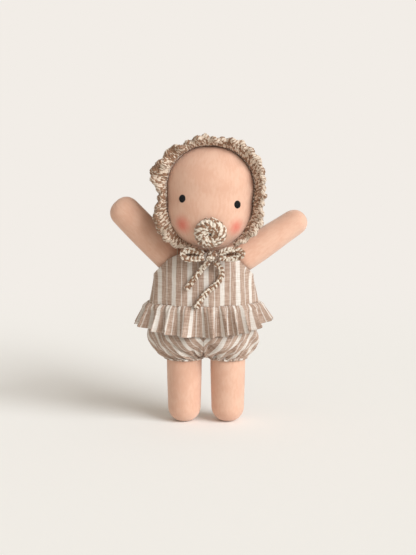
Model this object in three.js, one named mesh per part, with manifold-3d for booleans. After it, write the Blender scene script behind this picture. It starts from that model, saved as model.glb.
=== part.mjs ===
// A 25 cm stuffed baby doll: knit skin over wool, crochet bonnet and pacifier, linen top and bloomers.
// Millimetres, +Z up. The doll faces -Y, and its own left is on +X.
import * as THREE from 'three';
import { mergeVertices } from 'three/addons/utils/BufferGeometryUtils.js';
import Module from 'manifold-3d';

const wasm = await Module();
wasm.setup();

// Cloth, thread and fits
const skinThickness = 0.8;
const linenThickness = 0.9;
const fitClearance = 0.3;
const seamGap = 1.9;
const seamThreadRadius = 0.4;
const cordDiameter = 4.6;
const overrun = 6;
const farReach = 200;

// Legs
const hipHeight = 74;
const legHalfGap = 4;
const legRootRadius = 15;
const footHalfWidth = 14.3;
const footHalfLength = 14.6;
const footRound = 13;
const soleFlatDepth = 0.5;
const hipSeamRadius = 3.8;
const hipGap = 1.2;
const hipHalfSpacing = legRootRadius + legHalfGap;

// Body under the clothes
const torsoLength = 58.8;
const torsoHalfWidth = 36;
const torsoHalfDepth = 22;
const torsoBottomHeight = hipHeight + legRootRadius + hipGap;
const torsoTopHeight = torsoBottomHeight + torsoLength;

// Head: a wool ball that leans back and to one side on the neck
const headHalfWidth = 40;
const headHalfDepth = 38;
const headHalfHeight = 46.5;
const headLift = 1.5;
const headSide = 3.5;
const headForward = 4;
const headPitchDeg = 8.5;
const headRollDeg = 3;
const eyeLineDrop = 5.1;
const eyeLineTiltDeg = 3.1;
const eyeHalfSpacing = 23.1;
const eyeHalfWidth = 2.6;
const eyeHalfHeight = 3.25;
const eyeBulge = 1.1;
const eyeLineThreadRadius = 0.6;
const eyeLineThreadDepth = 0.6;
const headCentreHeight = torsoTopHeight + headLift + headHalfHeight;

// Neck
const neckRadius = 14;
const neckSeatDepth = 16;
const neckReach = 21.5;
const neckTieRadius = 0.5;
const neckBottomHeight = torsoTopHeight - neckSeatDepth;
const neckTopHeight = torsoTopHeight + headLift + neckReach;

// Arms
const shoulderInset = 3.5;
const shoulderBack = 3;
const shoulderDrop = 4;
const armLength = 65.6;
const armRootRadius = 13;
const armHalfWidth = 13.3;
const armHalfThickness = 11.2;
const armTipRound = 13;
const shoulderSeamReach = 8;
const shoulderHalfSpacing = torsoHalfWidth - shoulderInset;
const shoulderHeight = torsoTopHeight - shoulderDrop;

// How each arm lies, and how far it lifts, lowers, and swings back and ahead from there, in degrees
const arms = [
  { name: 'left', sign: 1, raise: 30.2, back: 20, roll: 90, lift: 4, lower: 22, swingBack: 8, swingAhead: 28 },
  { name: 'right', sign: -1, raise: 46.3, back: 0, roll: 0, lift: 3, lower: 34, swingBack: 24, swingAhead: 8 },
];

// Top: bodice and peplum
const topSide = -2.4;
const necklineRise = 2.5;
const bodiceLength = 45.5;
const bodiceFlareWidth = 11.5;
const bodiceFlareDepth = 5;
const armholeEase = 0.6;
const peplumLength = 25.5;
const peplumHemSideRise = 5.5;
const peplumFlareWidth = 6.5;
const peplumFlareDepth = 8;
const peplumFoldDepth = 3;
const peplumGatherDepth = 0.6;
const backSlitLength = 22;
const backSlitWidth = 0.8;
const buttonRadius = 3.6;
const buttonThickness = 1.6;
const buttonShankRadius = 1;
const buttonShankLength = 1.8;
const buttonHeightBelowNeck = 5;
const buttonLoopRadius = 2.2;
const buttonLoopThread = 0.45;
const necklineHeight = torsoTopHeight + necklineRise;
const waistSeamHeight = necklineHeight - bodiceLength;
const bodiceHalfWidth = torsoHalfWidth + bodiceFlareWidth;
const bodiceHalfDepth = torsoHalfDepth + bodiceFlareDepth;
const peplumHemHeight = waistSeamHeight - peplumLength;
const peplumHalfWidth = bodiceHalfWidth + peplumFlareWidth;
const peplumHalfDepth = bodiceHalfDepth + peplumFlareDepth;

// Bloomers
const bloomersRise = 10.8;
const bloomersLength = 44.5;
const bloomersFullnessWidth = 12.5;
const bloomersFullnessDepth = 6.5;
const elasticHeight = 3;
const elasticThickness = 0.7;
const waistCasingDepth = 4;
const cuffCasingDepth = 2.5;
const bloomersTopHeight = torsoBottomHeight + bloomersRise;
const bloomersBottomHeight = bloomersTopHeight - bloomersLength;
const bloomersHalfWidth = torsoHalfWidth + bloomersFullnessWidth;
const bloomersHalfDepth = torsoHalfDepth + bloomersFullnessDepth;
const waistElasticHeight = bloomersTopHeight - waistCasingDepth;
const cuffElasticHeight = bloomersBottomHeight + cuffCasingDepth;

// Bonnet
const bonnetThickness = 2.2;
const bonnetGap = 0.4;
const bonnetRimForward = 15.5;
const bonnetRimLeanDeg = -6;
const bonnetNapeDrop = 33;
const brimTopWidth = 10;
const brimSideWidth = 14.5;
const brimThickness = 2.4;
const brimFlareDeg = 32;
const brimRuffleDepth = 2.6;
const brimEndDeg = 152;

// Pacifier and its magnets
const pacifierRadius = 12.7;
const pacifierThickness = 6.4;
const pacifierDimple = 1.6;
const pacifierSide = 1.6;
const pacifierDrop = 30.3;
const mouthPitchDeg = 18;
const magnetRadius = 5;
const magnetThickness = 2;
const pacifierMagnetStandoff = 1;
const mouthMagnetDepth = 2.2;

// Bow under the chin: a knot, and the routes of the cords as chosen points over the top of the body
const knotHalfWidth = 7;
const knotHalfDepth = 5.4;
const knotHalfHeight = 4.8;
const knotPlace = [4.6, -31.6, 1.2];
const tieRoutes = {
  tie_left: [[27, -29.6, 4.4], [20, -28.8, 1.8], [12.2, -28.4, 0.8]],
  tie_right: [[-20.6, -29.6, 4.8], [-12, -28.8, 1.8], [-2.8, -28.4, 0.6]],
};
const loopRoutes = {
  bow_loop_left: [
    [11.3, -34.6, 3.6], [19, -36, 6], [26.4, -37, 6.2], [30.4, -37, 2.4],
    [26.8, -36.4, -2], [19, -35.4, -2.2], [11.3, -34.4, -1],
  ],
  bow_loop_right: [
    [-2.1, -34.6, 3.4], [-10, -36, 5.4], [-16.4, -36.8, 5.4], [-20, -36.8, 1.6],
    [-16.6, -36.2, -2.4], [-10, -35.4, -2.2], [-2.1, -34.4, -1],
  ],
};
const tailRoutes = {
  bow_tail_left: [
    [7.4, -32, -4.6], [10.4, -30, -7], [12.8, -27.8, -11.4], [12.8, -27.6, -17.4], [8.4, -28.4, -23.6],
    [1.2, -29.2, -29.6], [-4.6, -29.6, -36.6], [-8.2, -30.6, -43.4],
  ],
  bow_tail_right: [
    [1.6, -32, -4.1], [-1.8, -30, -7.8], [-5.4, -28, -12.6], [-9, -27.8, -17.6], [-13, -27.6, -22.8],
    [-16.6, -27.4, -27.6],
  ],
};

// Counts
const headSides = 20;
const headRows = 12;
const torsoSides = 20;
const torsoRows = 7;
const limbSides = 12;
const legSides = 14;
const rootRows = 4;
const bodyRows = 3;
const tipRows = 4;
const ringSides = 16;
const threadSides = 4;
const bodiceSides = 24;
const bodiceRows = 4;
const peplumFolds = 13;
const stepsPerFold = 5;
const peplumRows = 2;
const bloomerSides = 28;
const bloomerRows = 7;
const brimFolds = 21;
const stepsPerRuffle = 4;
const pacifierScallops = 8;
const stepsPerScallop = 4;
const roundSides = 16;
const ballSides = 12;
const ballRows = 8;
const cordSides = 8;
const stepsPerShare = 12;
const halvings = 30;

// Shares of the sizes above, chosen by eye: [width, depth, height] from the lower end to the upper one
const headShares = [
  [0, 0, -1],
  [0.45, 0.53, -0.92],
  [0.65, 0.75, -0.8],
  [0.83, 0.92, -0.6],
  [0.935, 0.965, -0.38],
  [0.965, 0.965, -0.2],
  [0.962, 0.95, -0.09],
  [0.985, 0.97, 0.05],
  [1, 0.985, 0.25],
  [0.93, 0.9, 0.52],
  [0.74, 0.7, 0.77],
  [0.5, 0.48, 0.91],
  [0, 0, 1],
];
const torsoShares = [
  [0.74, 0.74, 0],
  [0.93, 0.94, 0.06],
  [1, 1, 0.3],
  [0.96, 0.98, 0.55],
  [0.86, 0.9, 0.78],
  [0.7, 0.8, 0.92],
  [0.51, 0.74, 1],
];
const bodiceShares = [
  [1, 1, 0],
  [0.93, 0.96, 0.35],
  [0.87, 0.91, 0.65],
  [0.74, 0.82, 0.85],
  [0.53, 0.71, 1],
];
const bloomerShares = [
  [0.74, 0.66, 0],
  [0.86, 0.83, 0.06],
  [0.96, 0.95, 0.24],
  [1, 1, 0.5],
  [0.97, 0.98, 0.7],
  [0.86, 0.9, 0.86],
  [0.78, 0.84, 0.93],
  [0.77, 0.83, 1],
];
const pacifierRootShare = 0.7;
const pacifierProfileShares = [
  [0.95, 0.2],
  [1, 0.55],
  [0.82, 0.92],
  [0.5, 1],
  [0.24, 0.9],
];
const limbSwellShare = 0.03;
const limbOpeningShare = 0.18;
const tipPower = 2.3;
const footPower = 2.5;
const scallopShare = 0.06;
const brimEndShare = 0.45;
const brimTaperRate = 5;

// Knit, wool, crochet and linen colours
const knit = { color: 0xe8bd9c, roughness: 0.95, metalness: 0 };
const wool = { color: 0xefe6d6, roughness: 1, metalness: 0 };
const crochet = { color: 0xcbb39b, roughness: 0.95, metalness: 0 };
const linen = { color: 0xb9a696, roughness: 0.9, metalness: 0 };
const blackThread = { color: 0x151416, roughness: 0.6, metalness: 0 };
const paleThread = { color: 0xe6d9c4, roughness: 0.8, metalness: 0 };
const elastic = { color: 0xf2efe9, roughness: 0.7, metalness: 0 };
const magnet = { color: 0xb8babd, roughness: 0.3, metalness: 1 };
const wood = { color: 0xb48a60, roughness: 0.6, metalness: 0 };

const radians = THREE.MathUtils.degToRad;
const up = new THREE.Vector3(0, 0, 1);
const forward = new THREE.Vector3(0, -1, 0);

const doll = new THREE.Group();

function addPiece(name, geometry, finish) {
  const material = new THREE.MeshStandardMaterial(finish);
  const mesh = new THREE.Mesh(geometry, material);
  mesh.name = name;
  doll.add(mesh);
  return mesh;
}

// A closed surface through rings of points. A ring of one point is a pole. Open ends get a flat fan, and
// a surface that is joined end to end has none.
function surfaceThrough(rings, endToEnd = false) {
  const positions = [];
  const starts = [];
  for (const ring of rings) {
    starts.push(positions.length / 3);
    ring.forEach((point) => positions.push(point.x, point.y, point.z));
  }
  const indices = [];
  const bands = endToEnd ? rings.length : rings.length - 1;
  for (let band = 0; band < bands; band += 1) {
    const next = (band + 1) % rings.length;
    const lower = rings[band].length;
    const upper = rings[next].length;
    for (let side = 0; side < Math.max(lower, upper); side += 1) {
      const a = starts[band] + (side % lower);
      const b = starts[band] + ((side + 1) % lower);
      const c = starts[next] + ((side + 1) % upper);
      const d = starts[next] + (side % upper);
      if (a !== b) indices.push(a, b, c);
      if (c !== d) indices.push(a, c, d);
    }
  }
  if (!endToEnd) {
    for (const [end, turned] of [[0, true], [rings.length - 1, false]]) {
      const ring = rings[end];
      if (ring.length === 1) continue;
      const centre = ring.reduce((sum, point) => sum.add(point), new THREE.Vector3()).divideScalar(ring.length);
      const hub = positions.length / 3;
      positions.push(centre.x, centre.y, centre.z);
      for (let side = 0; side < ring.length; side += 1) {
        const a = starts[end] + side;
        const b = starts[end] + ((side + 1) % ring.length);
        indices.push(...(turned ? [b, a, hub] : [a, b, hub]));
      }
    }
  }
  const geometry = new THREE.BufferGeometry();
  geometry.setAttribute('position', new THREE.Float32BufferAttribute(positions, 3));
  geometry.setIndex(volumeOf(positions, indices) < 0 ? indices.reverse() : indices);
  return geometry;
}

// Six times the volume that the triangles enclose, negative where they face inwards.
function volumeOf(positions, indices) {
  const corner = (index) => new THREE.Vector3().fromArray(positions, index * 3);
  let volume = 0;
  for (let start = 0; start < indices.length; start += 3) {
    const [a, b, c] = [corner(indices[start]), corner(indices[start + 1]), corner(indices[start + 2])];
    volume += a.dot(b.cross(c));
  }
  return volume;
}

function toSolid(geometry) {
  const bare = geometry.clone();
  bare.deleteAttribute('normal');
  bare.deleteAttribute('uv');
  const merged = mergeVertices(bare);
  const vertProperties = new Float32Array(merged.attributes.position.array);
  const triVerts = new Uint32Array(merged.index.array);
  return new wasm.Manifold(new wasm.Mesh({ numProp: 3, vertProperties, triVerts }));
}

function toGeometry(solid) {
  const mesh = solid.getMesh();
  const geometry = new THREE.BufferGeometry();
  geometry.setAttribute('position', new THREE.BufferAttribute(mesh.vertProperties, 3));
  geometry.setIndex(new THREE.BufferAttribute(mesh.triVerts, 1));
  return geometry;
}

function cut(base, ...tools) {
  return toGeometry(tools.reduce((solid, tool) => solid.subtract(toSolid(tool)), toSolid(base)));
}

function joined(...parts) {
  return toGeometry(parts.slice(1).reduce((solid, part) => solid.add(toSolid(part)), toSolid(parts[0])));
}

function placed(geometry, matrix) {
  return geometry.clone().applyMatrix4(matrix);
}

// A level ellipse of points.
function ellipse(halfWidth, halfDepth, height, sides) {
  const ring = [];
  for (let side = 0; side < sides; side += 1) {
    const angle = (side / sides) * 2 * Math.PI;
    ring.push(new THREE.Vector3(halfWidth * Math.cos(angle), halfDepth * Math.sin(angle), height));
  }
  return ring;
}

// Places along a smooth curve through a table of shares.
function smoothed(shares, rows) {
  const curve = new THREE.CatmullRomCurve3(shares.map((row) => new THREE.Vector3(...row)), false, 'centripetal');
  return curve.getPoints(rows);
}

// The width and depth shares of a table at a height share.
function sharesAt(shares, heightShare) {
  const rows = smoothed(shares, shares.length * stepsPerShare);
  const above = Math.max(1, rows.findIndex((row) => row.z >= heightShare));
  const [lower, upper] = [rows[above - 1], rows[above]];
  return lower.clone().lerp(upper, (heightShare - lower.z) / (upper.z - lower.z));
}

function movedSideways(ring, distance) {
  return ring.map((point) => point.clone().setX(point.x + distance));
}

// Level rings of an upright round body through a table of shares, grown or shrunk sideways by extra.
function roundRings(shares, rows, sides, halfWidth, halfDepth, bottom, top, extra) {
  return smoothed(shares, rows).map((share) => ellipse(
    halfWidth * share.x + extra,
    halfDepth * share.y + extra,
    THREE.MathUtils.lerp(bottom, top, share.z),
    sides,
  ));
}

function ringAtHeight(ring, height) {
  return ring.map((point) => point.clone().setZ(height));
}

function uprightCylinder(radius, bottom, top, sides = roundSides) {
  return surfaceThrough([ellipse(radius, radius, bottom, sides), ellipse(radius, radius, top, sides)]);
}

// A closed ring of thread that follows a loop of points, each with its outward direction and its axis.
function threadRing(places, radius, sides = threadSides) {
  return surfaceThrough(places.map(({ point, outward, axis }) => {
    const ring = [];
    for (let side = 0; side < sides; side += 1) {
      const angle = (side / sides) * 2 * Math.PI;
      ring.push(point.clone()
        .addScaledVector(outward, radius * Math.cos(angle))
        .addScaledVector(axis, radius * Math.sin(angle)));
    }
    return ring;
  }), true);
}

// A level loop of places round an ellipse.
function ellipseLoop(halfWidth, halfDepth, height, sides = ringSides) {
  return ellipse(halfWidth, halfDepth, height, sides).map((point) => ({
    point,
    outward: new THREE.Vector3(point.x / halfWidth ** 2, point.y / halfDepth ** 2, 0).normalize(),
    axis: up,
  }));
}

// A flat elastic band round an ellipse, with its inner face at the given sizes.
function elasticBand(halfWidth, halfDepth, height, sides) {
  const outer = elasticThickness;
  const low = height - elasticHeight / 2;
  const high = height + elasticHeight / 2;
  return surfaceThrough([
    ellipse(halfWidth, halfDepth, low, sides),
    ellipse(halfWidth + outer, halfDepth + outer, low, sides),
    ellipse(halfWidth + outer, halfDepth + outer, high, sides),
    ellipse(halfWidth, halfDepth, high, sides),
  ], true);
}

function cordAlong(points, sides = cordSides) {
  const path = new THREE.CatmullRomCurve3(points);
  const shape = new THREE.Shape();
  for (let side = 0; side < sides; side += 1) {
    const angle = (side / sides) * 2 * Math.PI;
    const [x, y] = [cordDiameter / 2 * Math.cos(angle), cordDiameter / 2 * Math.sin(angle)];
    if (side === 0) shape.moveTo(x, y);
    else shape.lineTo(x, y);
  }
  const steps = Math.max(2, Math.round(path.getLength() / cordDiameter));
  return new THREE.ExtrudeGeometry(shape, { extrudePath: path, steps, curveSegments: 1 });
}

// Head: skin shell, wool core with its neck, eye-line thread, eyes
const headFrame = new THREE.Matrix4().makeTranslation(headSide, -headForward, headCentreHeight)
  .multiply(new THREE.Matrix4().makeRotationX(-radians(headPitchDeg)))
  .multiply(new THREE.Matrix4().makeRotationY(radians(headRollDeg)));

// Half-width and half-depth of the bare head at a height in the head's frame.
function headSizeAt(height) {
  const share = sharesAt(headShares, THREE.MathUtils.clamp(height / headHalfHeight, -1, 1));
  return { halfWidth: headHalfWidth * share.x, halfDepth: headHalfDepth * share.y };
}

// How far the face stands forward at a place in the head's frame.
function faceForwardAt(x, height) {
  const { halfWidth, halfDepth } = headSizeAt(height);
  return halfDepth * Math.sqrt(Math.max(0, 1 - (x / halfWidth) ** 2));
}

function headBall(extra) {
  const rings = smoothed(headShares, headRows).map((share) => {
    const height = (headHalfHeight + extra) * share.z;
    if (share.x === 0) return [new THREE.Vector3(0, 0, height)];
    return ellipse(headHalfWidth * share.x + extra, headHalfDepth * share.y + extra, height, headSides);
  });
  return surfaceThrough(rings);
}

function headForm(extra, neckBottom) {
  return joined(
    placed(headBall(extra), headFrame),
    uprightCylinder(neckRadius + extra, neckBottom, neckTopHeight),
  );
}

const woolInset = skinThickness + fitClearance;
addPiece('head_skin', cut(
  headForm(0, neckBottomHeight),
  headForm(-skinThickness, neckBottomHeight - overrun),
), knit);

const eyeLineFrame = headFrame.clone()
  .multiply(new THREE.Matrix4().makeTranslation(0, 0, -eyeLineDrop))
  .multiply(new THREE.Matrix4().makeRotationY(radians(eyeLineTiltDeg)));
const eyeLineSize = headSizeAt(-eyeLineDrop);
function eyeLineRing(radius) {
  const inset = woolInset + eyeLineThreadDepth;
  const loop = ellipseLoop(eyeLineSize.halfWidth - inset, eyeLineSize.halfDepth - inset, 0, headSides);
  return placed(threadRing(loop, radius), eyeLineFrame);
}

const pacifierFace = new THREE.Vector3(
  pacifierSide,
  -faceForwardAt(pacifierSide, -pacifierDrop),
  -pacifierDrop,
).applyMatrix4(headFrame);

// Lays a part that was drawn upwards from its seat onto the mouth, looking ahead and a little down.
const mouthFrame = new THREE.Matrix4().makeTranslation(pacifierFace)
  .multiply(new THREE.Matrix4().makeRotationX(Math.PI / 2 + radians(mouthPitchDeg)));

const mouthPocketBottom = -(woolInset + mouthMagnetDepth + magnetThickness + fitClearance);
addPiece('head_wool_core', cut(
  headForm(-woolInset, neckBottomHeight + fitClearance),
  eyeLineRing(eyeLineThreadRadius + fitClearance),
  placed(uprightCylinder(magnetRadius + fitClearance, mouthPocketBottom, overrun), mouthFrame),
), wool);
addPiece('eye_line_tie', eyeLineRing(eyeLineThreadRadius), paleThread);
addPiece('mouth_magnet', placed(uprightCylinder(
  magnetRadius,
  mouthPocketBottom + fitClearance,
  mouthPocketBottom + fitClearance + magnetThickness,
), mouthFrame), magnet);

const headSeat = headForm(fitClearance, neckBottomHeight);
for (const [name, sign] of [['left', 1], ['right', -1]]) {
  const x = sign * eyeHalfSpacing;
  const height = -eyeLineDrop - x * Math.tan(radians(eyeLineTiltDeg));
  const centre = new THREE.Vector3(x, -faceForwardAt(x, height), height).applyMatrix4(headFrame);
  const stitch = new THREE.SphereGeometry(eyeHalfHeight, ballSides, ballRows);
  stitch.scale(eyeHalfWidth / eyeHalfHeight, (eyeBulge + fitClearance) / eyeHalfHeight, 1);
  stitch.translate(centre.x, centre.y, centre.z);
  addPiece(`eye_${name}`, cut(stitch, headSeat), blackThread);
}

const neckTieReach = neckRadius + fitClearance + neckTieRadius;
const neckTieHeight = torsoTopHeight + fitClearance + neckTieRadius;
addPiece('neck_tie', threadRing(
  ellipseLoop(neckTieReach, neckTieReach, neckTieHeight),
  neckTieRadius,
), paleThread);

// Pacifier: a scalloped crochet rosette, hollowed to the face, with a magnet in its back
function pacifierForm() {
  const sides = pacifierScallops * stepsPerScallop;
  const ringAt = (share, height) => {
    const radius = pacifierRadius * share;
    return ellipse(radius, radius, height, sides).map((point, side) => {
      const wave = 1 + scallopShare * share * Math.cos((side / stepsPerScallop) * 2 * Math.PI);
      return point.multiply(new THREE.Vector3(wave, wave, 1));
    });
  };
  const rings = pacifierProfileShares.map(([share, rise]) => ringAt(share, pacifierThickness * rise));
  rings.unshift(ringAt(pacifierRootShare, -overrun));
  rings.push([new THREE.Vector3(0, 0, pacifierThickness - pacifierDimple)]);
  return placed(surfaceThrough(rings), mouthFrame);
}

const magnetSeat = pacifierMagnetStandoff + magnetThickness + fitClearance;
addPiece('pacifier', cut(
  pacifierForm(),
  headSeat,
  placed(uprightCylinder(magnetRadius + fitClearance, -overrun, magnetSeat), mouthFrame),
), crochet);
addPiece('pacifier_magnet', placed(uprightCylinder(
  magnetRadius,
  pacifierMagnetStandoff,
  pacifierMagnetStandoff + magnetThickness,
), mouthFrame), magnet);

// Bonnet: a cap over the back of the head, cut at the rim and above the nape
const rimTilt = new THREE.Matrix4().makeRotationX(-radians(bonnetRimLeanDeg));
const rimFrame = headFrame.clone()
  .multiply(new THREE.Matrix4().makeTranslation(0, -bonnetRimForward, 0))
  .multiply(rimTilt);

function bigBlock(x, y, z) {
  return new THREE.BoxGeometry(farReach, farReach, farReach).translate(x, y, z);
}

addPiece('bonnet_cap', cut(
  placed(headBall(bonnetGap + bonnetThickness), headFrame),
  placed(headBall(bonnetGap), headFrame),
  placed(bigBlock(0, -farReach / 2, 0), rimFrame),
  placed(bigBlock(0, 0, -farReach / 2 - bonnetNapeDrop), headFrame),
), crochet);

// A place on the bonnet's rim, at an angle from the crown, in the head's frame: the ray from the head's
// middle is halved in until it meets the head's surface at the depth of the rim.
function rimPlace(angle) {
  const direction = new THREE.Vector3(Math.sin(angle), 0, Math.cos(angle));
  const offset = bonnetGap + bonnetThickness / 2;
  let [near, far] = [0, headHalfHeight * 2];
  for (let halving = 0; halving < halvings; halving += 1) {
    const reach = (near + far) / 2;
    const height = reach * direction.z;
    const { halfWidth, halfDepth } = headSizeAt(height);
    const depth = bonnetRimForward - height * Math.tan(radians(bonnetRimLeanDeg));
    const inside = (reach * direction.x / (halfWidth + offset)) ** 2 + (depth / (halfDepth + offset)) ** 2 < 1
      && Math.abs(height) < headHalfHeight + offset;
    if (inside) near = reach;
    else far = reach;
  }
  const height = near * direction.z;
  const depth = bonnetRimForward - height * Math.tan(radians(bonnetRimLeanDeg));
  return new THREE.Vector3(near * direction.x, -depth, height);
}

// Brim: a ruffled band that flares forward from the rim
function brimForm() {
  const steps = brimFolds * stepsPerRuffle;
  const flare = radians(brimFlareDeg);
  const rings = [];
  for (let step = 0; step <= steps; step += 1) {
    const share = step / steps;
    const angle = radians(brimEndDeg) * (2 * share - 1);
    const radial = new THREE.Vector3(Math.sin(angle), 0, Math.cos(angle));
    const outward = radial.clone().multiplyScalar(Math.cos(flare)).addScaledVector(forward, Math.sin(flare));
    const across = radial.clone().multiplyScalar(-Math.sin(flare)).addScaledVector(forward, Math.cos(flare));
    const base = rimPlace(angle).addScaledVector(forward, fitClearance + brimThickness / 2);
    const ruffle = brimRuffleDepth * Math.sin(share * brimFolds * 2 * Math.PI);
    const side = Math.sin(angle / 2) ** 2;
    const fromEnd = Math.min(1, (1 - Math.abs(2 * share - 1)) * brimTaperRate);
    const endTaper = THREE.MathUtils.lerp(brimEndShare, 1, fromEnd);
    const width = THREE.MathUtils.lerp(brimTopWidth, brimSideWidth, side) * endTaper;
    const at = (widthShare, face) => base.clone()
      .addScaledVector(outward, width * widthShare)
      .addScaledVector(across, ruffle * widthShare + face * brimThickness / 2);
    rings.push([at(0, -1), at(1, -1), at(1, 1), at(0, 1)]);
  }
  return placed(surfaceThrough(rings), headFrame);
}
addPiece('bonnet_brim', brimForm(), crochet);

// Ties and bow, placed over the top of the body
const overBody = ([x, y, rise]) => new THREE.Vector3(x, y, torsoTopHeight + rise);
for (const routes of [tieRoutes, loopRoutes, tailRoutes]) {
  for (const [name, points] of Object.entries(routes)) {
    addPiece(name, cordAlong(points.map(overBody)), crochet);
  }
}
const knot = new THREE.SphereGeometry(knotHalfWidth, ballSides, ballRows);
knot.scale(1, knotHalfDepth / knotHalfWidth, knotHalfHeight / knotHalfWidth);
knot.translate(...overBody(knotPlace).toArray());
addPiece('bow_knot', knot, crochet);

// Limbs are drawn upwards from their pivot: a round root, a body that swells and tapers, and a round tip
function limbForm({ rootRadius, length, halfWidth, halfThickness, tipRound, power, sides }, inset = 0) {
  const rings = [[new THREE.Vector3(0, 0, -rootRadius + inset)]];
  for (let row = 1; row <= rootRows; row += 1) {
    const angle = (row / rootRows) * Math.PI / 2;
    const radius = (rootRadius - inset) * Math.sin(angle);
    rings.push(ellipse(radius, radius, -(rootRadius - inset) * Math.cos(angle), sides));
  }
  const bodyLength = length - tipRound;
  for (let row = 1; row <= bodyRows; row += 1) {
    const share = row / bodyRows;
    const blend = THREE.MathUtils.smoothstep(share, 0, 1);
    const swell = 1 + limbSwellShare * Math.sin(Math.PI * share);
    const width = THREE.MathUtils.lerp(rootRadius, halfWidth, blend) * swell - inset;
    const thickness = THREE.MathUtils.lerp(rootRadius, halfThickness, blend) * swell - inset;
    rings.push(ellipse(width, thickness, bodyLength * share, sides));
  }
  for (let row = 1; row < tipRows; row += 1) {
    const angle = (row / tipRows) * Math.PI / 2;
    const size = Math.cos(angle) ** (2 / power);
    const rise = (tipRound - inset) * Math.sin(angle) ** (2 / power);
    rings.push(ellipse((halfWidth - inset) * size, (halfThickness - inset) * size, bodyLength + rise, sides));
  }
  rings.push([new THREE.Vector3(0, 0, length - inset)]);
  return surfaceThrough(rings);
}

// A limb's skin is open at its root, where it was filled, and its wool lies inside.
function addLimb(name, sizes, frame, soleCut = []) {
  const opening = uprightCylinder(sizes.rootRadius * limbOpeningShare, -sizes.rootRadius - overrun, 0);
  addPiece(`${name}_skin`, cut(
    placed(limbForm(sizes), frame),
    placed(limbForm(sizes, skinThickness), frame),
    placed(opening, frame),
    ...soleCut,
  ), knit);
  addPiece(`${name}_wool`, placed(limbForm(sizes, woolInset), frame), wool);
}

// The frame of an arm that is raised over the level, swung back and rolled about its own length.
function armFrame(sign, raiseDeg, backDeg, rollDeg) {
  const [raise, back] = [radians(raiseDeg), radians(backDeg)];
  const level = new THREE.Vector3(sign * Math.cos(back), Math.sin(back), 0);
  const along = level.clone().multiplyScalar(Math.cos(raise)).addScaledVector(up, Math.sin(raise));
  const widthwise = level.clone().multiplyScalar(-Math.sin(raise)).addScaledVector(up, Math.cos(raise));
  const across = along.clone().cross(widthwise);
  return new THREE.Matrix4()
    .makeTranslation(sign * shoulderHalfSpacing, shoulderBack, shoulderHeight)
    .multiply(new THREE.Matrix4().makeBasis(widthwise, across, along))
    .multiply(new THREE.Matrix4().makeRotationZ(radians(rollDeg)));
}

const armSizes = {
  rootRadius: armRootRadius,
  length: armLength,
  halfWidth: armHalfWidth,
  halfThickness: armHalfThickness,
  tipRound: armTipRound,
  power: tipPower,
  sides: limbSides,
};

const shoulderPockets = [];
const armholeCuts = [];
for (const arm of arms) {
  addLimb(`arm_${arm.name}`, armSizes, armFrame(arm.sign, arm.raise, arm.back, arm.roll));
  const x = arm.sign * shoulderHalfSpacing;
  const pocket = new THREE.SphereGeometry(armRootRadius + seamGap, roundSides, roundSides / 2);
  shoulderPockets.push(pocket.translate(x, shoulderBack, shoulderHeight));
  for (const raise of [arm.raise + arm.lift, arm.raise - arm.lower]) {
    for (const back of [arm.back + arm.swingBack, arm.back - arm.swingAhead]) {
      const frame = armFrame(arm.sign, raise, back, arm.roll);
      armholeCuts.push(placed(limbForm(armSizes, -armholeEase), frame));
    }
  }
  // The seam thread lies between the arm's round root and its pocket in the body
  const seamSphere = armRootRadius + fitClearance + seamThreadRadius;
  const seamRadius = Math.sqrt(seamSphere ** 2 - shoulderSeamReach ** 2);
  const seamFrame = new THREE.Matrix4()
    .makeTranslation(x - arm.sign * shoulderSeamReach, shoulderBack, shoulderHeight)
    .multiply(new THREE.Matrix4().makeRotationY(Math.PI / 2));
  addPiece(
    `shoulder_thread_${arm.name}`,
    placed(threadRing(ellipseLoop(seamRadius, seamRadius, 0), seamThreadRadius), seamFrame),
    paleThread,
  );
}

// Body: a knit shell over wool, with a hole for the neck and pockets for the arms
function torsoForm(extra) {
  return surfaceThrough(roundRings(
    torsoShares, torsoRows, torsoSides, torsoHalfWidth, torsoHalfDepth,
    torsoBottomHeight - extra, torsoTopHeight + extra, extra,
  ));
}
const neckHole = uprightCylinder(
  neckRadius + fitClearance,
  neckBottomHeight - fitClearance,
  torsoTopHeight + overrun,
);
const torsoSkin = cut(torsoForm(0), torsoForm(-skinThickness), neckHole, ...shoulderPockets);
addPiece('torso_skin', torsoSkin, knit);
addPiece('torso_wool', cut(torsoForm(-woolInset), neckHole, ...shoulderPockets), wool);

// Legs, cut flat under the soles
const legSizes = {
  rootRadius: legRootRadius,
  length: hipHeight + soleFlatDepth,
  halfWidth: footHalfWidth,
  halfThickness: footHalfLength,
  tipRound: footRound,
  power: footPower,
  sides: legSides,
};
const floorBlock = bigBlock(0, 0, -farReach / 2);
for (const [name, sign] of [['left', 1], ['right', -1]]) {
  const x = sign * hipHalfSpacing;
  const frame = new THREE.Matrix4().makeTranslation(x, 0, hipHeight)
    .multiply(new THREE.Matrix4().makeRotationX(Math.PI));
  addLimb(`leg_${name}`, legSizes, frame, [floorBlock]);
  const seamHeight = torsoBottomHeight - fitClearance - seamThreadRadius;
  const seam = ellipseLoop(hipSeamRadius, hipSeamRadius, seamHeight, roundSides);
  addPiece(`hip_thread_${name}`, placed(
    threadRing(seam, seamThreadRadius),
    new THREE.Matrix4().makeTranslation(x, 0, 0),
  ), paleThread);
}

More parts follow.
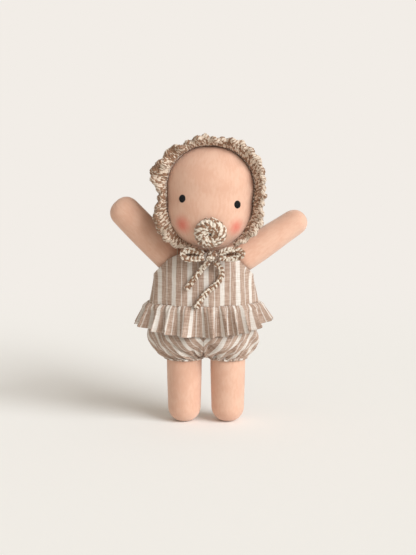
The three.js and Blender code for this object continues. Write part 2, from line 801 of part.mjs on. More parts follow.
// Bodice: an A-line shell with armholes and a slit down the back
function bodiceForm(extra, endRun) {
  const rings = roundRings(
    bodiceShares, bodiceRows, bodiceSides, bodiceHalfWidth, bodiceHalfDepth,
    waistSeamHeight, necklineHeight, extra,
  ).map((ring) => movedSideways(ring, topSide));
  if (endRun > 0) {
    rings.unshift(ringAtHeight(rings[0], waistSeamHeight - endRun));
    rings.push(ringAtHeight(rings[rings.length - 1], necklineHeight + endRun));
  }
  return surfaceThrough(rings);
}
const backSlit = new THREE.BoxGeometry(backSlitWidth, bodiceHalfDepth, backSlitLength + overrun)
  .translate(topSide, bodiceHalfDepth, necklineHeight - (backSlitLength - overrun) / 2);
addPiece('top_bodice', cut(
  bodiceForm(0, 0),
  bodiceForm(-linenThickness, overrun),
  backSlit,
  ...armholeCuts,
  ...shoulderPockets,
), linen);

// Peplum: gathered into the waist seam, with folds that open towards the hem
function peplumForm() {
  const sides = peplumFolds * stepsPerFold;
  const ringAt = (share, extra) => {
    const ring = ellipse(
      THREE.MathUtils.lerp(bodiceHalfWidth, peplumHalfWidth, share) + extra,
      THREE.MathUtils.lerp(bodiceHalfDepth, peplumHalfDepth, share) + extra,
      0,
      sides,
    );
    return ring.map((point, side) => {
      const angle = (side / sides) * 2 * Math.PI;
      const fold = THREE.MathUtils.lerp(peplumGatherDepth, peplumFoldDepth, share)
        * Math.cos(angle * peplumFolds + Math.sin(2 * angle));
      const reach = Math.hypot(point.x, point.y);
      const hem = peplumHemHeight + peplumHemSideRise * Math.cos(angle) ** 2;
      const top = waistSeamHeight - fitClearance;
      const scale = (reach + fold) / reach;
      const height = THREE.MathUtils.lerp(top, hem, share);
      return new THREE.Vector3(point.x * scale + topSide, point.y * scale, height);
    });
  };
  const shares = Array.from({ length: peplumRows + 1 }, (_, row) => row / peplumRows);
  const outer = shares.map((share) => ringAt(share, 0));
  const inner = shares.reverse().map((share) => ringAt(share, -linenThickness));
  return surfaceThrough([...outer, ...inner], true);
}
addPiece('top_peplum', peplumForm(), linen);

// Button and its loop at the top of the back slit
const buttonHeightShare = 1 - buttonHeightBelowNeck / (necklineHeight - waistSeamHeight);
const backAtButton = bodiceHalfDepth * sharesAt(bodiceShares, buttonHeightShare).y;
const buttonFrame = new THREE.Matrix4()
  .makeTranslation(topSide, backAtButton, necklineHeight - buttonHeightBelowNeck)
  .multiply(new THREE.Matrix4().makeRotationX(-Math.PI / 2));
addPiece('back_button', placed(joined(
  uprightCylinder(buttonShankRadius, fitClearance, buttonShankLength + buttonThickness / 2),
  uprightCylinder(buttonRadius, buttonShankLength, buttonShankLength + buttonThickness),
), buttonFrame), wood);
addPiece('button_loop', placed(threadRing(
  ellipseLoop(buttonLoopRadius, buttonLoopRadius, buttonShankLength / 2 + fitClearance, roundSides),
  buttonLoopThread,
), buttonFrame), paleThread);

// Bloomers: one bubble with two leg holes, in two halves that meet at the crotch seam
function bloomersForm(extra, topRun) {
  const rings = roundRings(
    bloomerShares, bloomerRows, bloomerSides, bloomersHalfWidth, bloomersHalfDepth,
    bloomersBottomHeight - extra, bloomersTopHeight, extra,
  );
  if (topRun > 0) rings.push(ringAtHeight(rings[rings.length - 1], bloomersTopHeight + topRun));
  return surfaceThrough(rings);
}
const legGirthRadius = legRootRadius * (1 + limbSwellShare);
const cuffRadius = legGirthRadius + 2 * fitClearance + elasticThickness;
const legHoles = [1, -1].map((sign) => placed(
  uprightCylinder(cuffRadius, bloomersBottomHeight - overrun, bloomersBottomHeight + overrun, ringSides),
  new THREE.Matrix4().makeTranslation(sign * hipHalfSpacing, 0, 0),
));
const bloomers = cut(bloomersForm(0, 0), bloomersForm(-linenThickness, overrun), ...legHoles);
for (const [name, sign] of [['left', 1], ['right', -1]]) {
  const otherSide = bigBlock(-sign * (farReach / 2 - fitClearance / 2), 0, hipHeight);
  addPiece(`bloomers_${name}`, cut(bloomers, otherSide), linen);
  addPiece(`cuff_elastic_${name}`, placed(
    elasticBand(legGirthRadius + fitClearance, legGirthRadius + fitClearance, cuffElasticHeight, ringSides),
    new THREE.Matrix4().makeTranslation(sign * hipHalfSpacing, 0, 0),
  ), elastic);
}
const elasticTopShare = (waistElasticHeight + elasticHeight / 2 - torsoBottomHeight) / torsoLength;
const waistShare = sharesAt(torsoShares, elasticTopShare);
addPiece('waist_elastic', elasticBand(
  torsoHalfWidth * waistShare.x + fitClearance,
  torsoHalfDepth * waistShare.y + fitClearance,
  waistElasticHeight,
  torsoSides,
), elastic);

// The doll stands on its soles over the middle of its own outline
const outline = new THREE.Box3().setFromObject(doll);
doll.position.set(-(outline.min.x + outline.max.x) / 2, -(outline.min.y + outline.max.y) / 2, -outline.min.z);

export default doll;
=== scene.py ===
import math

import bmesh
import bpy
import numpy as np
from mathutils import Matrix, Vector


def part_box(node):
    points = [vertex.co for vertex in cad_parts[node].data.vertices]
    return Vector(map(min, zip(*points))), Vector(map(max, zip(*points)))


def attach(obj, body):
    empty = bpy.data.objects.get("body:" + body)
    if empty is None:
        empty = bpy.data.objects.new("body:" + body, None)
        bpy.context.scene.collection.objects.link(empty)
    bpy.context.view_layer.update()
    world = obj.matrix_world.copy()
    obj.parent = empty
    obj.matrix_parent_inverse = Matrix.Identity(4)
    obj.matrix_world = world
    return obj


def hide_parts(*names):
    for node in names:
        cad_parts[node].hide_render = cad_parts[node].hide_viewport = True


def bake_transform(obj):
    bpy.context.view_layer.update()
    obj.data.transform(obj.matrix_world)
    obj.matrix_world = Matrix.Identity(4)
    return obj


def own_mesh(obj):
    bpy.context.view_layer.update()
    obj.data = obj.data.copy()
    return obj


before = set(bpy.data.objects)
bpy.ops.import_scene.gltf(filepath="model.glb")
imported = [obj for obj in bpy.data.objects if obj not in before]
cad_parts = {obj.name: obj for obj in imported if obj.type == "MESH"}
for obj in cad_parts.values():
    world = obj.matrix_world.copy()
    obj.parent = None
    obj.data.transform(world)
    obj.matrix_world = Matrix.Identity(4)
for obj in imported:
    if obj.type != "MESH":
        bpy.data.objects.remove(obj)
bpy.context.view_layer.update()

# Camera: it stands about 1.2 m in front of the doll and a little above it, on a long lens, and sees 360 mm
# across at the doll. Every size below is in millimetres from the floor point midway between the feet;
# the doll faces -Y and its own left is +X.
leg_corners = np.array([*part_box("leg_left_skin"), *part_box("leg_right_skin")])
between_feet = leg_corners.mean(axis=0) * (1, 1, 0)


def in_frame(points):
    """Millimetres from the point between the feet, as metres in the frame."""
    return np.asarray(points, float) / 1000 + between_feet


def linked(name, data):
    """A new object in the scene."""
    thing = bpy.data.objects.new(name, data)
    bpy.context.scene.collection.objects.link(thing)
    return thing


def aimed(name, data, place, aim):
    """A camera or a lamp at one place, turned towards another."""
    thing = linked(name, data)
    thing.location = in_frame(place)
    thing.rotation_euler = Vector(aim - place).to_track_quat("-Z", "Y").to_euler()
    return thing


camera_elevation = math.radians(9)
camera_distance, seen_width = 1200, 360
camera_aim = np.array([1.7, 0, 126.9])
camera_data = bpy.data.cameras.new("camera")
camera_data.sensor_fit = "HORIZONTAL"
camera_data.sensor_width = 36
camera_data.lens = camera_data.sensor_width * camera_distance / seen_width
camera_place = camera_aim + camera_distance * np.array([0, -math.cos(camera_elevation), math.sin(camera_elevation)])
bpy.context.scene.camera = aimed("camera", camera_data, camera_place, camera_aim)
bpy.context.scene.view_settings.view_transform = "Standard"

# Bow tails: the two free ends of the bonnet's ties: crocheted chains of marled two-ply cotton, cream and brown,
# that hang from the knot and lie on the front of the top. Each chain is worked as three strands that
# pass over one another.


def smooth_curve(points, count):
    """Points spread evenly along the Catmull-Rom curve through the given ones."""
    points = np.asarray(points, float)
    reach = np.vstack([2 * points[0] - points[1], points, 2 * points[-1] - points[-2]])
    at = np.linspace(0, len(points) - 1, 60 * len(points))
    piece = np.minimum(at.astype(int), len(points) - 2)
    t = (at - piece)[:, None]
    a, b, c, d = (reach[piece + k] for k in range(4))
    fine = 0.5 * (2 * b + (c - a) * t + (2 * a - 5 * b + 4 * c - d) * t**2 + (3 * b - a - 3 * c + d) * t**3)
    run = np.append(0, np.cumsum(np.linalg.norm(np.diff(fine, axis=0), axis=1)))
    even = np.linspace(0, run[-1], count)
    return np.stack([np.interp(even, run, fine[:, k]) for k in range(3)], axis=1)


def unit(vectors):
    """The vectors divided by their lengths."""
    return vectors / np.maximum(np.linalg.norm(vectors, axis=-1, keepdims=True), 1e-9)


def round_angles(count):
    """Angles that share out a full turn."""
    return 2 * np.pi * np.arange(count) / count


def run_along(paths):
    """Distance travelled from the start of each path."""
    steps = np.linalg.norm(np.diff(paths, axis=-2), axis=-1)
    return np.concatenate([np.zeros_like(steps[..., :1]), np.cumsum(steps, axis=-1)], axis=-1)


def beside(paths, facing):
    """Two directions square to each path: sideways, and outward, as near as can be to facing."""
    along = unit(np.gradient(paths, axis=-2))
    sideways = unit(np.cross(along, facing))
    return sideways, np.cross(sideways, along)


def points_of(*parts):
    """Points, or UV pairs, from arrays of their coordinates, spread to one shape."""
    return np.stack(np.broadcast_arrays(*parts), axis=-1)


def surface(name, grids, edges_uv, material=None, open_sheet=False):
    """Grids of points (grid, row, column, xyz), joined into squares. Columns close round unless it is an open
    sheet. Rows drawn together in one point become a pole. edges_uv holds a pair for each row and each of the
    columns and, on a closed one, for the first column again."""
    grids = np.asarray(grids, float)
    count, rows, columns = grids.shape[:3]
    last = columns - 1 if open_sheet else columns
    g, r, c = np.meshgrid(np.arange(count), np.arange(rows - 1), np.arange(last), indexing="ij")

    def number(row, column):
        """Vertex number of a grid point; a column past the last one is the first again."""
        return (g * rows + row) * columns + column % columns

    squares = np.stack([number(r, c), number(r + 1, c), number(r + 1, c + 1), number(r, c + 1)], axis=-1)
    pairs = np.broadcast_to(edges_uv, (count, *np.shape(edges_uv)[-3:]))
    corners = np.stack([pairs[g, r, c], pairs[g, r + 1, c], pairs[g, r + 1, c + 1], pairs[g, r, c + 1]], axis=-2)
    mesh = bpy.data.meshes.new(name)
    mesh.from_pydata(in_frame(grids.reshape(-1, 3)).tolist(), [], squares.reshape(-1, 4).tolist())
    mesh.uv_layers.new(name="UVMap").data.foreach_set("uv", corners.reshape(-1).astype(np.float32))
    if not open_sheet:
        bm = bmesh.new()
        bm.from_mesh(mesh)
        bmesh.ops.remove_doubles(bm, verts=bm.verts, dist=1e-7)
        bm.to_mesh(mesh)
        bm.free()
    mesh.shade_smooth()
    if material:
        mesh.materials.append(material)
    return linked(name, mesh)


tension = np.random.default_rng(7)
to_viewer = np.array([0, -1, 0.05])


def yarn(
    name, paths, facing, radius, placed=np.asarray, sides=8, ply_turn=3.4, ply_depth=0.15, starts=None, material=None,
):
    """A piece of closed tubes of two-ply yarn round the paths, then placed. UV: share round, millimetres along. The
    radius swells twice in each round, and the swelling turns once in each ply_turn of the length, as two plies
    do. Each path starts at its own place along the yarn, a random one unless they are given."""
    sideways, outward = beside(paths, facing)
    if starts is None:
        starts = tension.uniform(0, 40, paths.shape[:-2])
    run = run_along(paths) + starts[..., None]
    angle = round_angles(sides)
    lobes = 1 + ply_depth * np.cos(2 * (angle - 2 * np.pi * run[..., None] / ply_turn))
    spokes = np.cos(angle)[:, None] * sideways[..., None, :] + np.sin(angle)[:, None] * outward[..., None, :]
    rings = paths[..., None, :] + (radius * lobes)[..., None] * spokes
    ends = [paths[..., k, None, None, :] * np.ones((1, sides, 1)) for k in (0, -1)]
    rings = np.concatenate([ends[0], rings, ends[1]], axis=-3)
    run = np.concatenate([run[..., :1], run, run[..., -1:]], axis=-1)
    return surface(name, placed(rings), points_of(np.arange(sides + 1) / sides, run[..., None]), material)


cord_width, cord_strand, cord_pitch, pitch_points = 5.0, 1.2, 8.0, 9


def chain(name, route):
    """A chain along a route, and its middle line: three strands that cross over one another. Each swings sideways
    once a pitch and in and out twice, a third of a pitch after the one before it."""
    turns = max(2, round(run_along(route)[-1] / cord_pitch))
    fine = smooth_curve(route, turns * pitch_points + 1)
    sideways, outward = beside(fine, to_viewer)
    phase = 2 * np.pi * (turns * np.linspace(0, 1, len(fine))[None, :] + np.arange(3)[:, None] / 3)
    swing = cord_width * 0.32 * np.sin(phase)[..., None]
    rise = cord_width * 0.18 * np.sin(2 * phase)[..., None]
    strands = fine + swing * sideways + rise * outward
    return yarn(name, strands, to_viewer, cord_strand, material=marl), fine


def operation(kind, swapped=False):
    """A method that adds a Math node for an amount and what follows it, or the two swapped."""
    return lambda amount, *others: amount.math(kind, *((*others, amount) if swapped else (amount, *others)))


class Amount:
    """A value that varies over a surface: sums written with it become Math nodes."""

    def __init__(self, finish, socket):
        self.finish, self.socket = finish, socket

    def math(self, operation, *values):
        """The result of a Math node on the values."""
        return self.finish.add("Math", dict(enumerate(values)), operation=operation)

    __add__ = __radd__ = operation("ADD")
    __mul__ = __rmul__ = operation("MULTIPLY")
    __sub__, __rsub__ = operation("SUBTRACT"), operation("SUBTRACT", True)
    __truediv__, __rtruediv__ = operation("DIVIDE"), operation("DIVIDE", True)
    sine, size, part = operation("SINE"), operation("ABSOLUTE"), operation("FRACT")

    def wave(self):
        """From 0 to 1 and back, once for each 1 of the amount."""
        return (self * (2 * math.pi)).sine() * 0.5 + 0.5

    def step(self, start, end):
        """0 below start, 1 above end, and a smooth rise between."""
        ends = {"Value": self, "From Min": start, "From Max": end}
        return self.finish.add("MapRange", ends, interpolation_type="SMOOTHSTEP")


class Finish:
    """A material or a world, built from a node at a time round its first shader."""

    def __init__(self, name, kept_in=bpy.data.materials, shader="Principled BSDF", **sockets):
        self.material = kept_in.new(name)
        self.material.use_nodes = True
        self.nodes, self.links = self.material.node_tree.nodes, self.material.node_tree.links
        self.shader = self.nodes[shader]
        self.set(**sockets)

    def feed(self, socket, value):
        """Links an amount or another node's output to a socket, or writes a plain value into it."""
        if isinstance(value, Amount):
            value = value.socket
        if isinstance(value, bpy.types.NodeSocket):
            self.links.new(value, socket)
        else:
            socket.default_value = (*value, 1) if socket.type == "RGBA" and len(value) == 3 else value

    def add(self, kind, sockets=(), output=0, **settings):
        """One output of a new node, with its input sockets fed."""
        node = self.nodes.new("ShaderNode" + kind)
        for setting, value in settings.items():
            setattr(node, setting, value)
        for socket, value in dict(sockets).items():
            self.feed(node.inputs[socket], value)
        return Amount(self, node.outputs[output])

    def set(self, **sockets):
        """Feeds the shader's own sockets, with _ for the spaces in their names."""
        for name, value in sockets.items():
            self.feed(self.shader.inputs[name.replace("_", " ")], value)

    def cloth_place(self):
        """The two parts of the piece's own UV map."""
        pair = self.add("SeparateXYZ", {0: self.add("TexCoord", output="UV")})
        return pair, Amount(self, pair.socket.node.outputs[1])

    def place(self):
        """The place on the piece, in metres."""
        return self.add("TexCoord", output="Object")

    def noise(self, scale, detail=2, where=None):
        """Soft noise from 0 to 1, with scale lumps to the metre, or to the unit of where."""
        return self.add("TexNoise", {"Vector": where or self.place(), "Scale": scale, "Detail": detail}, "Fac")

    def mix(self, share, first, second):
        """The first colour where share is 0 and the second where it is 1."""
        return self.add("Mix", {0: share, 6: first, 7: second}, 2, data_type="RGBA")

    def seen_ray(self):
        """1 for rays from the camera or off a gloss, and 0 for the others."""
        return self.add("LightPath", output="Is Camera Ray") + self.add("LightPath", output="Is Glossy Ray")

    def bump(self, height, depth):
        """Height from 0 to 1 as relief of the given depth in millimetres."""
        self.set(Normal=self.add("Bump", {"Height": height, "Distance": depth / 1000, "Strength": 1}))


def shown(red, green, blue):
    """A colour as it is written for a screen, 0 to 255, in the linear form that a material takes."""
    level = np.array([red, green, blue]) / 255
    return tuple(np.where(level <= 0.04045, level / 12.92, ((level + 0.055) / 1.055) ** 2.4))


def marled_cotton(name, cream, brown, ply_turn=5.6):
    """Two-ply cotton, one ply cream and one brown: the boundary between them runs round the yarn once in each
    ply_turn, and short fibres blur it. Fine lines along the fibres are painted towards a deep brown as shade
    between the fibres, and random flecks darken it a little too."""
    finish = Finish(name, Roughness=0.92, Sheen_Weight=0.25, Sheen_Roughness=0.5)
    round_share, along = finish.cloth_place()
    flecks = finish.noise(900, 3)
    turn = (round_share * 1.0 - along / ply_turn) * (2 * math.pi)
    ply = (turn + flecks * 1.6).sine() * 0.5 + 0.5
    blend = (ply + (finish.noise(160, 1) - 0.5) * 0.9).step(0.3, 0.7)
    strands = (round_share * 14.0 + along * 0.9).wave()
    tone = finish.mix(blend, brown, cream)
    # Painted shade: a deep brown mixed in along fine lines between the fibres, and a little at random flecks.
    finish.set(Base_Color=finish.mix(strands * 0.16 + flecks * 0.1, tone, shown(96, 66, 46)))
    finish.bump(strands * 0.6 + flecks * 0.4, 0.12)
    return finish.material


marl = marled_cotton("marled_cotton", shown(240, 228, 211), shown(148, 111, 84))

torso_top = 149
tail_routes = {
    "bow_tail_left": [
        [7.4, -32, -4.6], [10.4, -30, -7], [12.8, -27.8, -11.4], [12.8, -27.6, -17.4], [8.4, -28.4, -23.6],
        [1.2, -29.2, -29.6], [-4.6, -29.6, -36.6], [-8.2, -30.6, -43.4],
    ],
    "bow_tail_right": [
        [1.6, -32, -4.1], [-1.8, -30, -7.8], [-5.4, -28, -12.6], [-9, -27.8, -17.6], [-13, -27.6, -22.8],
        [-16.6, -27.4, -27.6],
    ],
}
for node, route in tail_routes.items():
    points = np.array(route) + (0, 0, torso_top)
    tail, centre = chain(node + "_chain", points)
    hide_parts(node)
    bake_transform(tail)

# Head and neck: peach cotton jersey drawn tight over a firm wool ball that leans back and to one side on
# the neck. Its ribs run up and down. A thread under the jersey pinches the ball along the eye line, and
# the cheeks are rubbed with red crayon.


def turned(axis, degrees):
    """The matrix of a turn about one of the axes x, y and z."""
    c, s = math.cos(math.radians(degrees)), math.sin(math.radians(degrees))
    i, j = {"x": (1, 2), "y": (2, 0), "z": (0, 1)}[axis]
    matrix = np.eye(3)
    matrix[i, i], matrix[i, j], matrix[j, i], matrix[j, j] = c, -s, s, c
    return matrix


head_half = np.array([40, 38, 46.5])
head_shares = [
    [0, 0, -1], [0.45, 0.53, -0.92], [0.65, 0.75, -0.8], [0.83, 0.92, -0.6], [0.935, 0.965, -0.38],
    [0.965, 0.972, -0.2], [0.966, 0.971, -0.11], [0.985, 0.976, 0.05], [1, 0.985, 0.25], [0.93, 0.9, 0.52],
    [0.74, 0.7, 0.77], [0.5, 0.48, 0.91], [0, 0, 1],
]
head_curve = smooth_curve(head_shares, 600)
head_lean = turned("x", -8.5) @ turned("y", 3)
head_centre = np.array([3.5, -4, 197])


def on_head(points):
    """From the head's own frame to the doll's."""
    return points @ head_lean.T + head_centre


def sizes_at(curve, place, half=(1, 1)):
    """Half-width and half-depth at a place up a curve, whose columns are their shares of half and that place."""
    return [half[k] * np.interp(place, curve[:, 2], curve[:, k]) for k in (0, 1)]


def head_size(height, extra=0.0):
    """Half-width and half-depth of the head, with extra all round, at a height in its own frame."""
    share = np.clip(np.asarray(height) / (head_half[2] + extra), -1, 1)
    width, depth = sizes_at(head_curve, share)
    swell = np.where(np.minimum(width, depth) > 0.02, extra, 0)
    return head_half[0] * width + swell, head_half[1] * depth + swell


def face_point(x, height):
    """The place on the front of the head at a sideways place and a height in the head's frame."""
    half_width, half_depth = head_size(height)
    forward = half_depth * np.sqrt(np.clip(1 - (x / half_width) ** 2, 0, 1))
    return points_of(x, -forward, height)


def jersey(name, wales, spots=()):
    """Fine knitted cotton, brushed soft: columns of V stitches, wales of them round the piece and 0.8 mm high,
    under a fuzz, with the colour of the spots rubbed in at their places. The low parts of this relief are painted
    darker and redder as shade, which leaves the fuzz and the rib tops paler."""
    finish = Finish(name, Roughness=0.95, Sheen_Weight=0.4, Sheen_Roughness=0.5, Sheen_Tint=(1, 0.95, 0.9))
    round_share, along = finish.cloth_place()
    from_middle = ((round_share * wales).part() - 0.5).size()
    legs = (along / 0.8 + from_middle * 0.9).wave()
    rib = 1 - from_middle * 2
    fuzz = finish.noise(1400, 3)
    drag = finish.noise(1.0, 3, finish.add("CombineXYZ", {0: round_share * (wales / 2.5), 1: along * 0.16}))
    mottle = finish.noise(70, 3)
    relief = rib * 0.4 + legs * 0.2 + fuzz * 0.5 + drag * 0.5
    peach = np.array([228, 190, 166])
    pinker = peach * (0.965, 0.925, 0.91)
    colour = finish.mix((mottle * 0.5 + drag * 0.5).step(0.38, 0.62) * 0.9, shown(*peach), shown(*pinker))
    # Painted shade: the low parts of the relief are mixed towards a darker, redder brown.
    colour = finish.mix((1.6 - relief) * 0.16, colour, shown(190, 112, 76))
    for centre, reach, strength in spots:
        distance = finish.add("VectorMath", {0: finish.place(), 1: in_frame(centre)}, 1, operation="DISTANCE")
        edge = (finish.noise(420, 2) - 0.5) * 0.003
        near = 1 - (distance + edge).step(reach * -0.15 / 1000, reach / 1000)
        colour = finish.mix(near * strength * (0.8 + rib * 0.2), colour, shown(218, 78, 60))
    finish.set(Base_Color=colour)
    finish.bump(relief, 0.2)
    return finish.material


def rings_round(half_widths, half_depths, heights, turn):
    """Oval rings one above another, by their sizes, from the back round to the left."""
    return points_of(half_widths[:, None] * np.sin(turn), half_depths[:, None] * np.cos(turn), heights[:, None])


def round_body(rings):
    """UV of a round body: share round, millimetres up its side."""
    across = np.linalg.norm(np.ptp(rings, axis=1), axis=-1)
    run = run_along(rings.mean(axis=1) + np.array([1, 0, 0]) * across[:, None] / 3)
    return points_of(np.arange(rings.shape[1] + 1) / rings.shape[1], run[:, None])


def joined(name, pieces, material):
    """Several mesh pieces as one."""
    bm = bmesh.new()
    for piece in pieces:
        bm.from_mesh(piece.data)
        bpy.data.objects.remove(piece)
    mesh = bpy.data.meshes.new(name)
    bm.to_mesh(mesh)
    bm.free()
    mesh.materials.append(material)
    return linked(name, mesh)


turn = round_angles(160)
rows = smooth_curve(head_shares, 121)
head_rings = rings_round(head_half[0] * rows[:, 0], head_half[1] * rows[:, 1], head_half[2] * rows[:, 2], turn)
head_ball = surface("head_ball", on_head(head_rings)[None], round_body(head_rings))
neck_profile = [[0, 0, 133], [12, 0, 133], [14, 0, 135], [14, 0, 148], [14.6, 0, 160], [13, 0, 172], [0, 0, 172]]
rows = smooth_curve(neck_profile, 60)
neck_rings = rings_round(rows[:, 0], rows[:, 0], rows[:, 2], turn[::4])
neck = surface("neck", neck_rings[None], round_body(neck_rings))
blush = [([-21, -36, 176.2], 12.5, 0.9), ([26.4, -35.5, 174.2], 11.5, 0.9)]
head = joined("head_jersey", [head_ball, neck], jersey("head_jersey", 320, spots=blush))
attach(head, "head")
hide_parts("head_skin", "head_wool_core")

# Eyes: two small ovals worked in satin stitch with black embroidery floss. The threads lie side by side,
# straight up and down, and stand a little proud of the face.


def black_floss():
    """Black cotton floss with a slight gloss; each thread is a ridge across the UV's first part."""
    finish = Finish("black_floss", Base_Color=shown(14, 13, 15), Roughness=0.6, Specular_IOR_Level=0.25)
    across_threads, along = finish.cloth_place()
    fibres = (across_threads * 9.0 + along * 0.4).wave()
    # Painted light and shade: the tops of the threads are a little paler than the gaps between them.
    finish.set(Base_Color=finish.mix(fibres * 0.5, shown(8, 8, 10), shown(26, 25, 28)))
    finish.bump(fibres, 0.12)
    return finish.material


floss = black_floss()
eye_half = (2.7, 3.35)
for node, x in (("eye_left", 23.1), ("eye_right", -23.1)):
    height = -5.1 - x * math.tan(math.radians(3.1))
    reach = np.linspace(0, 1, 14)[:, None]
    angle = round_angles(36)
    sideways, upward = eye_half[0] * reach * np.cos(angle), eye_half[1] * reach * np.sin(angle)
    threads = 0.12 * np.cos(2 * np.pi * sideways / 0.62) * (1 - reach**4)
    dome = 1.05 * np.sqrt(np.clip(1 - reach**2.4, 0, 1)) + threads
    seat = face_point(x + sideways, height + upward)
    push = np.array([math.copysign(0.52, x), -0.85, -0.05])
    rings = np.concatenate([seat + dome[..., None] * push, (seat - 0.6 * push)[::-1]])
    uv = points_of(sideways, upward)[:, [*range(36), 0]]
    eye = surface(node + "_stitches", on_head(rings)[None], np.concatenate([uv, uv[::-1]]), floss)
    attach(eye, "head")
    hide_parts(node)

# Bonnet cap: marled cotton crocheted in rounds from the middle of the back of the head out to the rim round
# the face, and left open above the nape. Each stitch shows as a V of two yarns, and a strand runs along
# the top of each round.
cap_gap = 0.4
rim_forward, rim_lean = 15.5, math.tan(math.radians(-6))


def reach_in_head(place, shape, extra):
    """How far the head reaches, with extra all round, where place gives the points at a reach, found by halving."""
    near, far = np.zeros(shape), np.full(shape, 90.0)
    for _ in range(26):
        reach = (near + far) / 2
        point = place(reach)
        half_width, half_depth = (np.maximum(half, 0.1) for half in head_size(point[..., 2], extra))
        inside = (point[..., 0] / half_width) ** 2 + (point[..., 1] / half_depth) ** 2 < 1
        inside &= np.abs(point[..., 2]) < head_half[2] + extra
        near, far = np.where(inside, reach, near), np.where(inside, far, reach)
    return near


def ball_point(direction, extra):
    """The place where a ray from the middle of the head leaves it, in the head's frame."""
    reach = reach_in_head(lambda reach: direction * reach[..., None], direction.shape[:-1], extra)
    return direction * reach[..., None]


def from_back(polar, around):
    """Direction at a polar angle from the back of the head, around it from the crown towards the left."""
    return points_of(np.sin(polar) * np.sin(around), np.cos(polar), np.sin(polar) * np.cos(around))


def smoothed(ring, half):
    """Each value of a closed ring, whose last value repeats its first, as the mean of those up to half away."""
    wide = np.concatenate([ring[-half - 1:-1], ring, ring[1:half + 1]])
    return np.convolve(wide, np.ones(2 * half + 1) / (2 * half + 1), "valid")


edge_around = np.linspace(0, 2 * np.pi, 361)
edge_polar = np.linspace(0.1, 2.6, 500)
tried = ball_point(from_back(*np.meshgrid(edge_polar, edge_around, indexing="ij")), cap_gap)
beyond = (tried[..., 1] < -rim_forward + tried[..., 2] * rim_lean) | (tried[..., 2] < -33)
edge_reach = smoothed(edge_polar[np.argmax(beyond, axis=0)], 7)
full_reach = smoothed(np.maximum(edge_reach, 1.6), 30)


def on_cap(share, around, lift, whole=full_reach):
    """A place on the cap: a share of the way from its middle to its edge, around it, lifted off the head. Over the
    nape the share counts on past the edge, so that the rounds stay round there."""
    reach = share * np.interp(np.mod(around, 2 * np.pi), edge_around, whole)
    direction = from_back(reach, around)
    return ball_point(direction, cap_gap) + direction * np.asarray(lift)[..., None]


def within_edge(share, around):
    """Where a round at a share of the way lies on the cap."""
    around = np.mod(around, 2 * np.pi)
    return share * np.interp(around, edge_around, full_reach) < np.interp(around, edge_around, edge_reach) + 0.03


def stitch_legs(place, start, end, middles, half_width, lift, points=5, uneven=0.12):
    """Paths of the two legs of V stitches on a surface: from the foot of each stitch they spread to its head, and
    bulge off the surface on the way. Each stitch is worked a little tighter or looser than the next."""
    share = np.linspace(0, 1, points)
    slip, reach, rise = tension.uniform(-uneven, uneven, (3, len(middles), 1))
    spread = half_width * (0.12 + 0.62 * np.sqrt(share))
    sides = np.array([-1, 1])[:, None, None] * spread + middles[None, :, None] + 2 * slip * half_width
    along = start + (end - start) * share * (1 + reach * (end > 0.9))
    bulge = lift + 2 * rise + 0.75 * np.sin(np.pi * share) ** 0.7
    return place(along, sides, bulge).reshape(-1, points, 3)


cap_rounds, stitch_width = 14, 2.75
cap_legs, cap_strands, cap_starts = [], [], []
for number in range(cap_rounds):
    start, end = (number + 0.15) / cap_rounds, (number + 1.0) / cap_rounds
    ring = on_cap(np.full(361, end), edge_around, np.ones(361))
    stitches = max(9, round(run_along(ring)[-1] / stitch_width))
    middles = 2 * np.pi * (np.arange(stitches) + 0.5 * (number % 2)) / stitches
    middles = middles[within_edge(end, middles)]
    cap_legs.append(stitch_legs(on_cap, start, end, middles, np.pi / stitches, 1.1))
    drift = 2.3 * number + 0.8 * np.arange(len(middles)) + tension.uniform(0, 0.7, len(middles))
    cap_starts.append(np.concatenate([drift, drift + 1.4]))
    around = np.linspace(np.pi, 3 * np.pi, stitches * 4 + 1)
    around = around[within_edge(end, around)]
    sway = np.cos(around * stitches)
    cap_strands.append(on_cap(end + 0.004 * sway, around, 1.75 + 0.35 * np.sin(around * stitches)))
around = np.linspace(np.pi, 3 * np.pi, 361)
for strand in range(2):
    phase = around * 38 + strand * np.pi
    cap_strands.append(on_cap(0.99 + 0.008 * np.sin(phase), around, 1.3 + 0.7 * np.cos(phase), edge_reach))
leg_paths = np.concatenate(cap_legs)
starts = np.concatenate(cap_starts)
cap_pieces = [yarn("cap_legs", leg_paths, leg_paths, 0.92, on_head, sides=5, ply_depth=0.1, starts=starts)]
for path in cap_strands:
    cap_pieces.append(yarn("cap_strand", path[None], path[None], 0.8, on_head, sides=5, ply_depth=0.1))
# A sheet of dark marl under the stitches, seen through the gaps between them: painted shade.
shell_share = np.concatenate([np.linspace(0, 1, 28), np.linspace(1, 0, 28)])[:, None]
shell_lift = np.repeat([1.3, 0.1], 28)[:, None]
shell_around = round_angles(120)
shell = on_cap(*np.broadcast_arrays(shell_share, shell_around, shell_lift), edge_reach)
shell_uv = points_of(np.arange(121) / 120, shell_share * 60)
shaded_marl = marled_cotton("marled_cotton_cap_shade", shown(140, 108, 84), shown(88, 58, 38))
cap_painted_shade = surface("bonnet_cap_painted_shade", on_head(shell)[None], shell_uv, shaded_marl)
cap = joined("bonnet_cap_stitches", cap_pieces, marl)
for piece in (cap, cap_painted_shade):
    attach(piece, "head")
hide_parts("bonnet_cap")

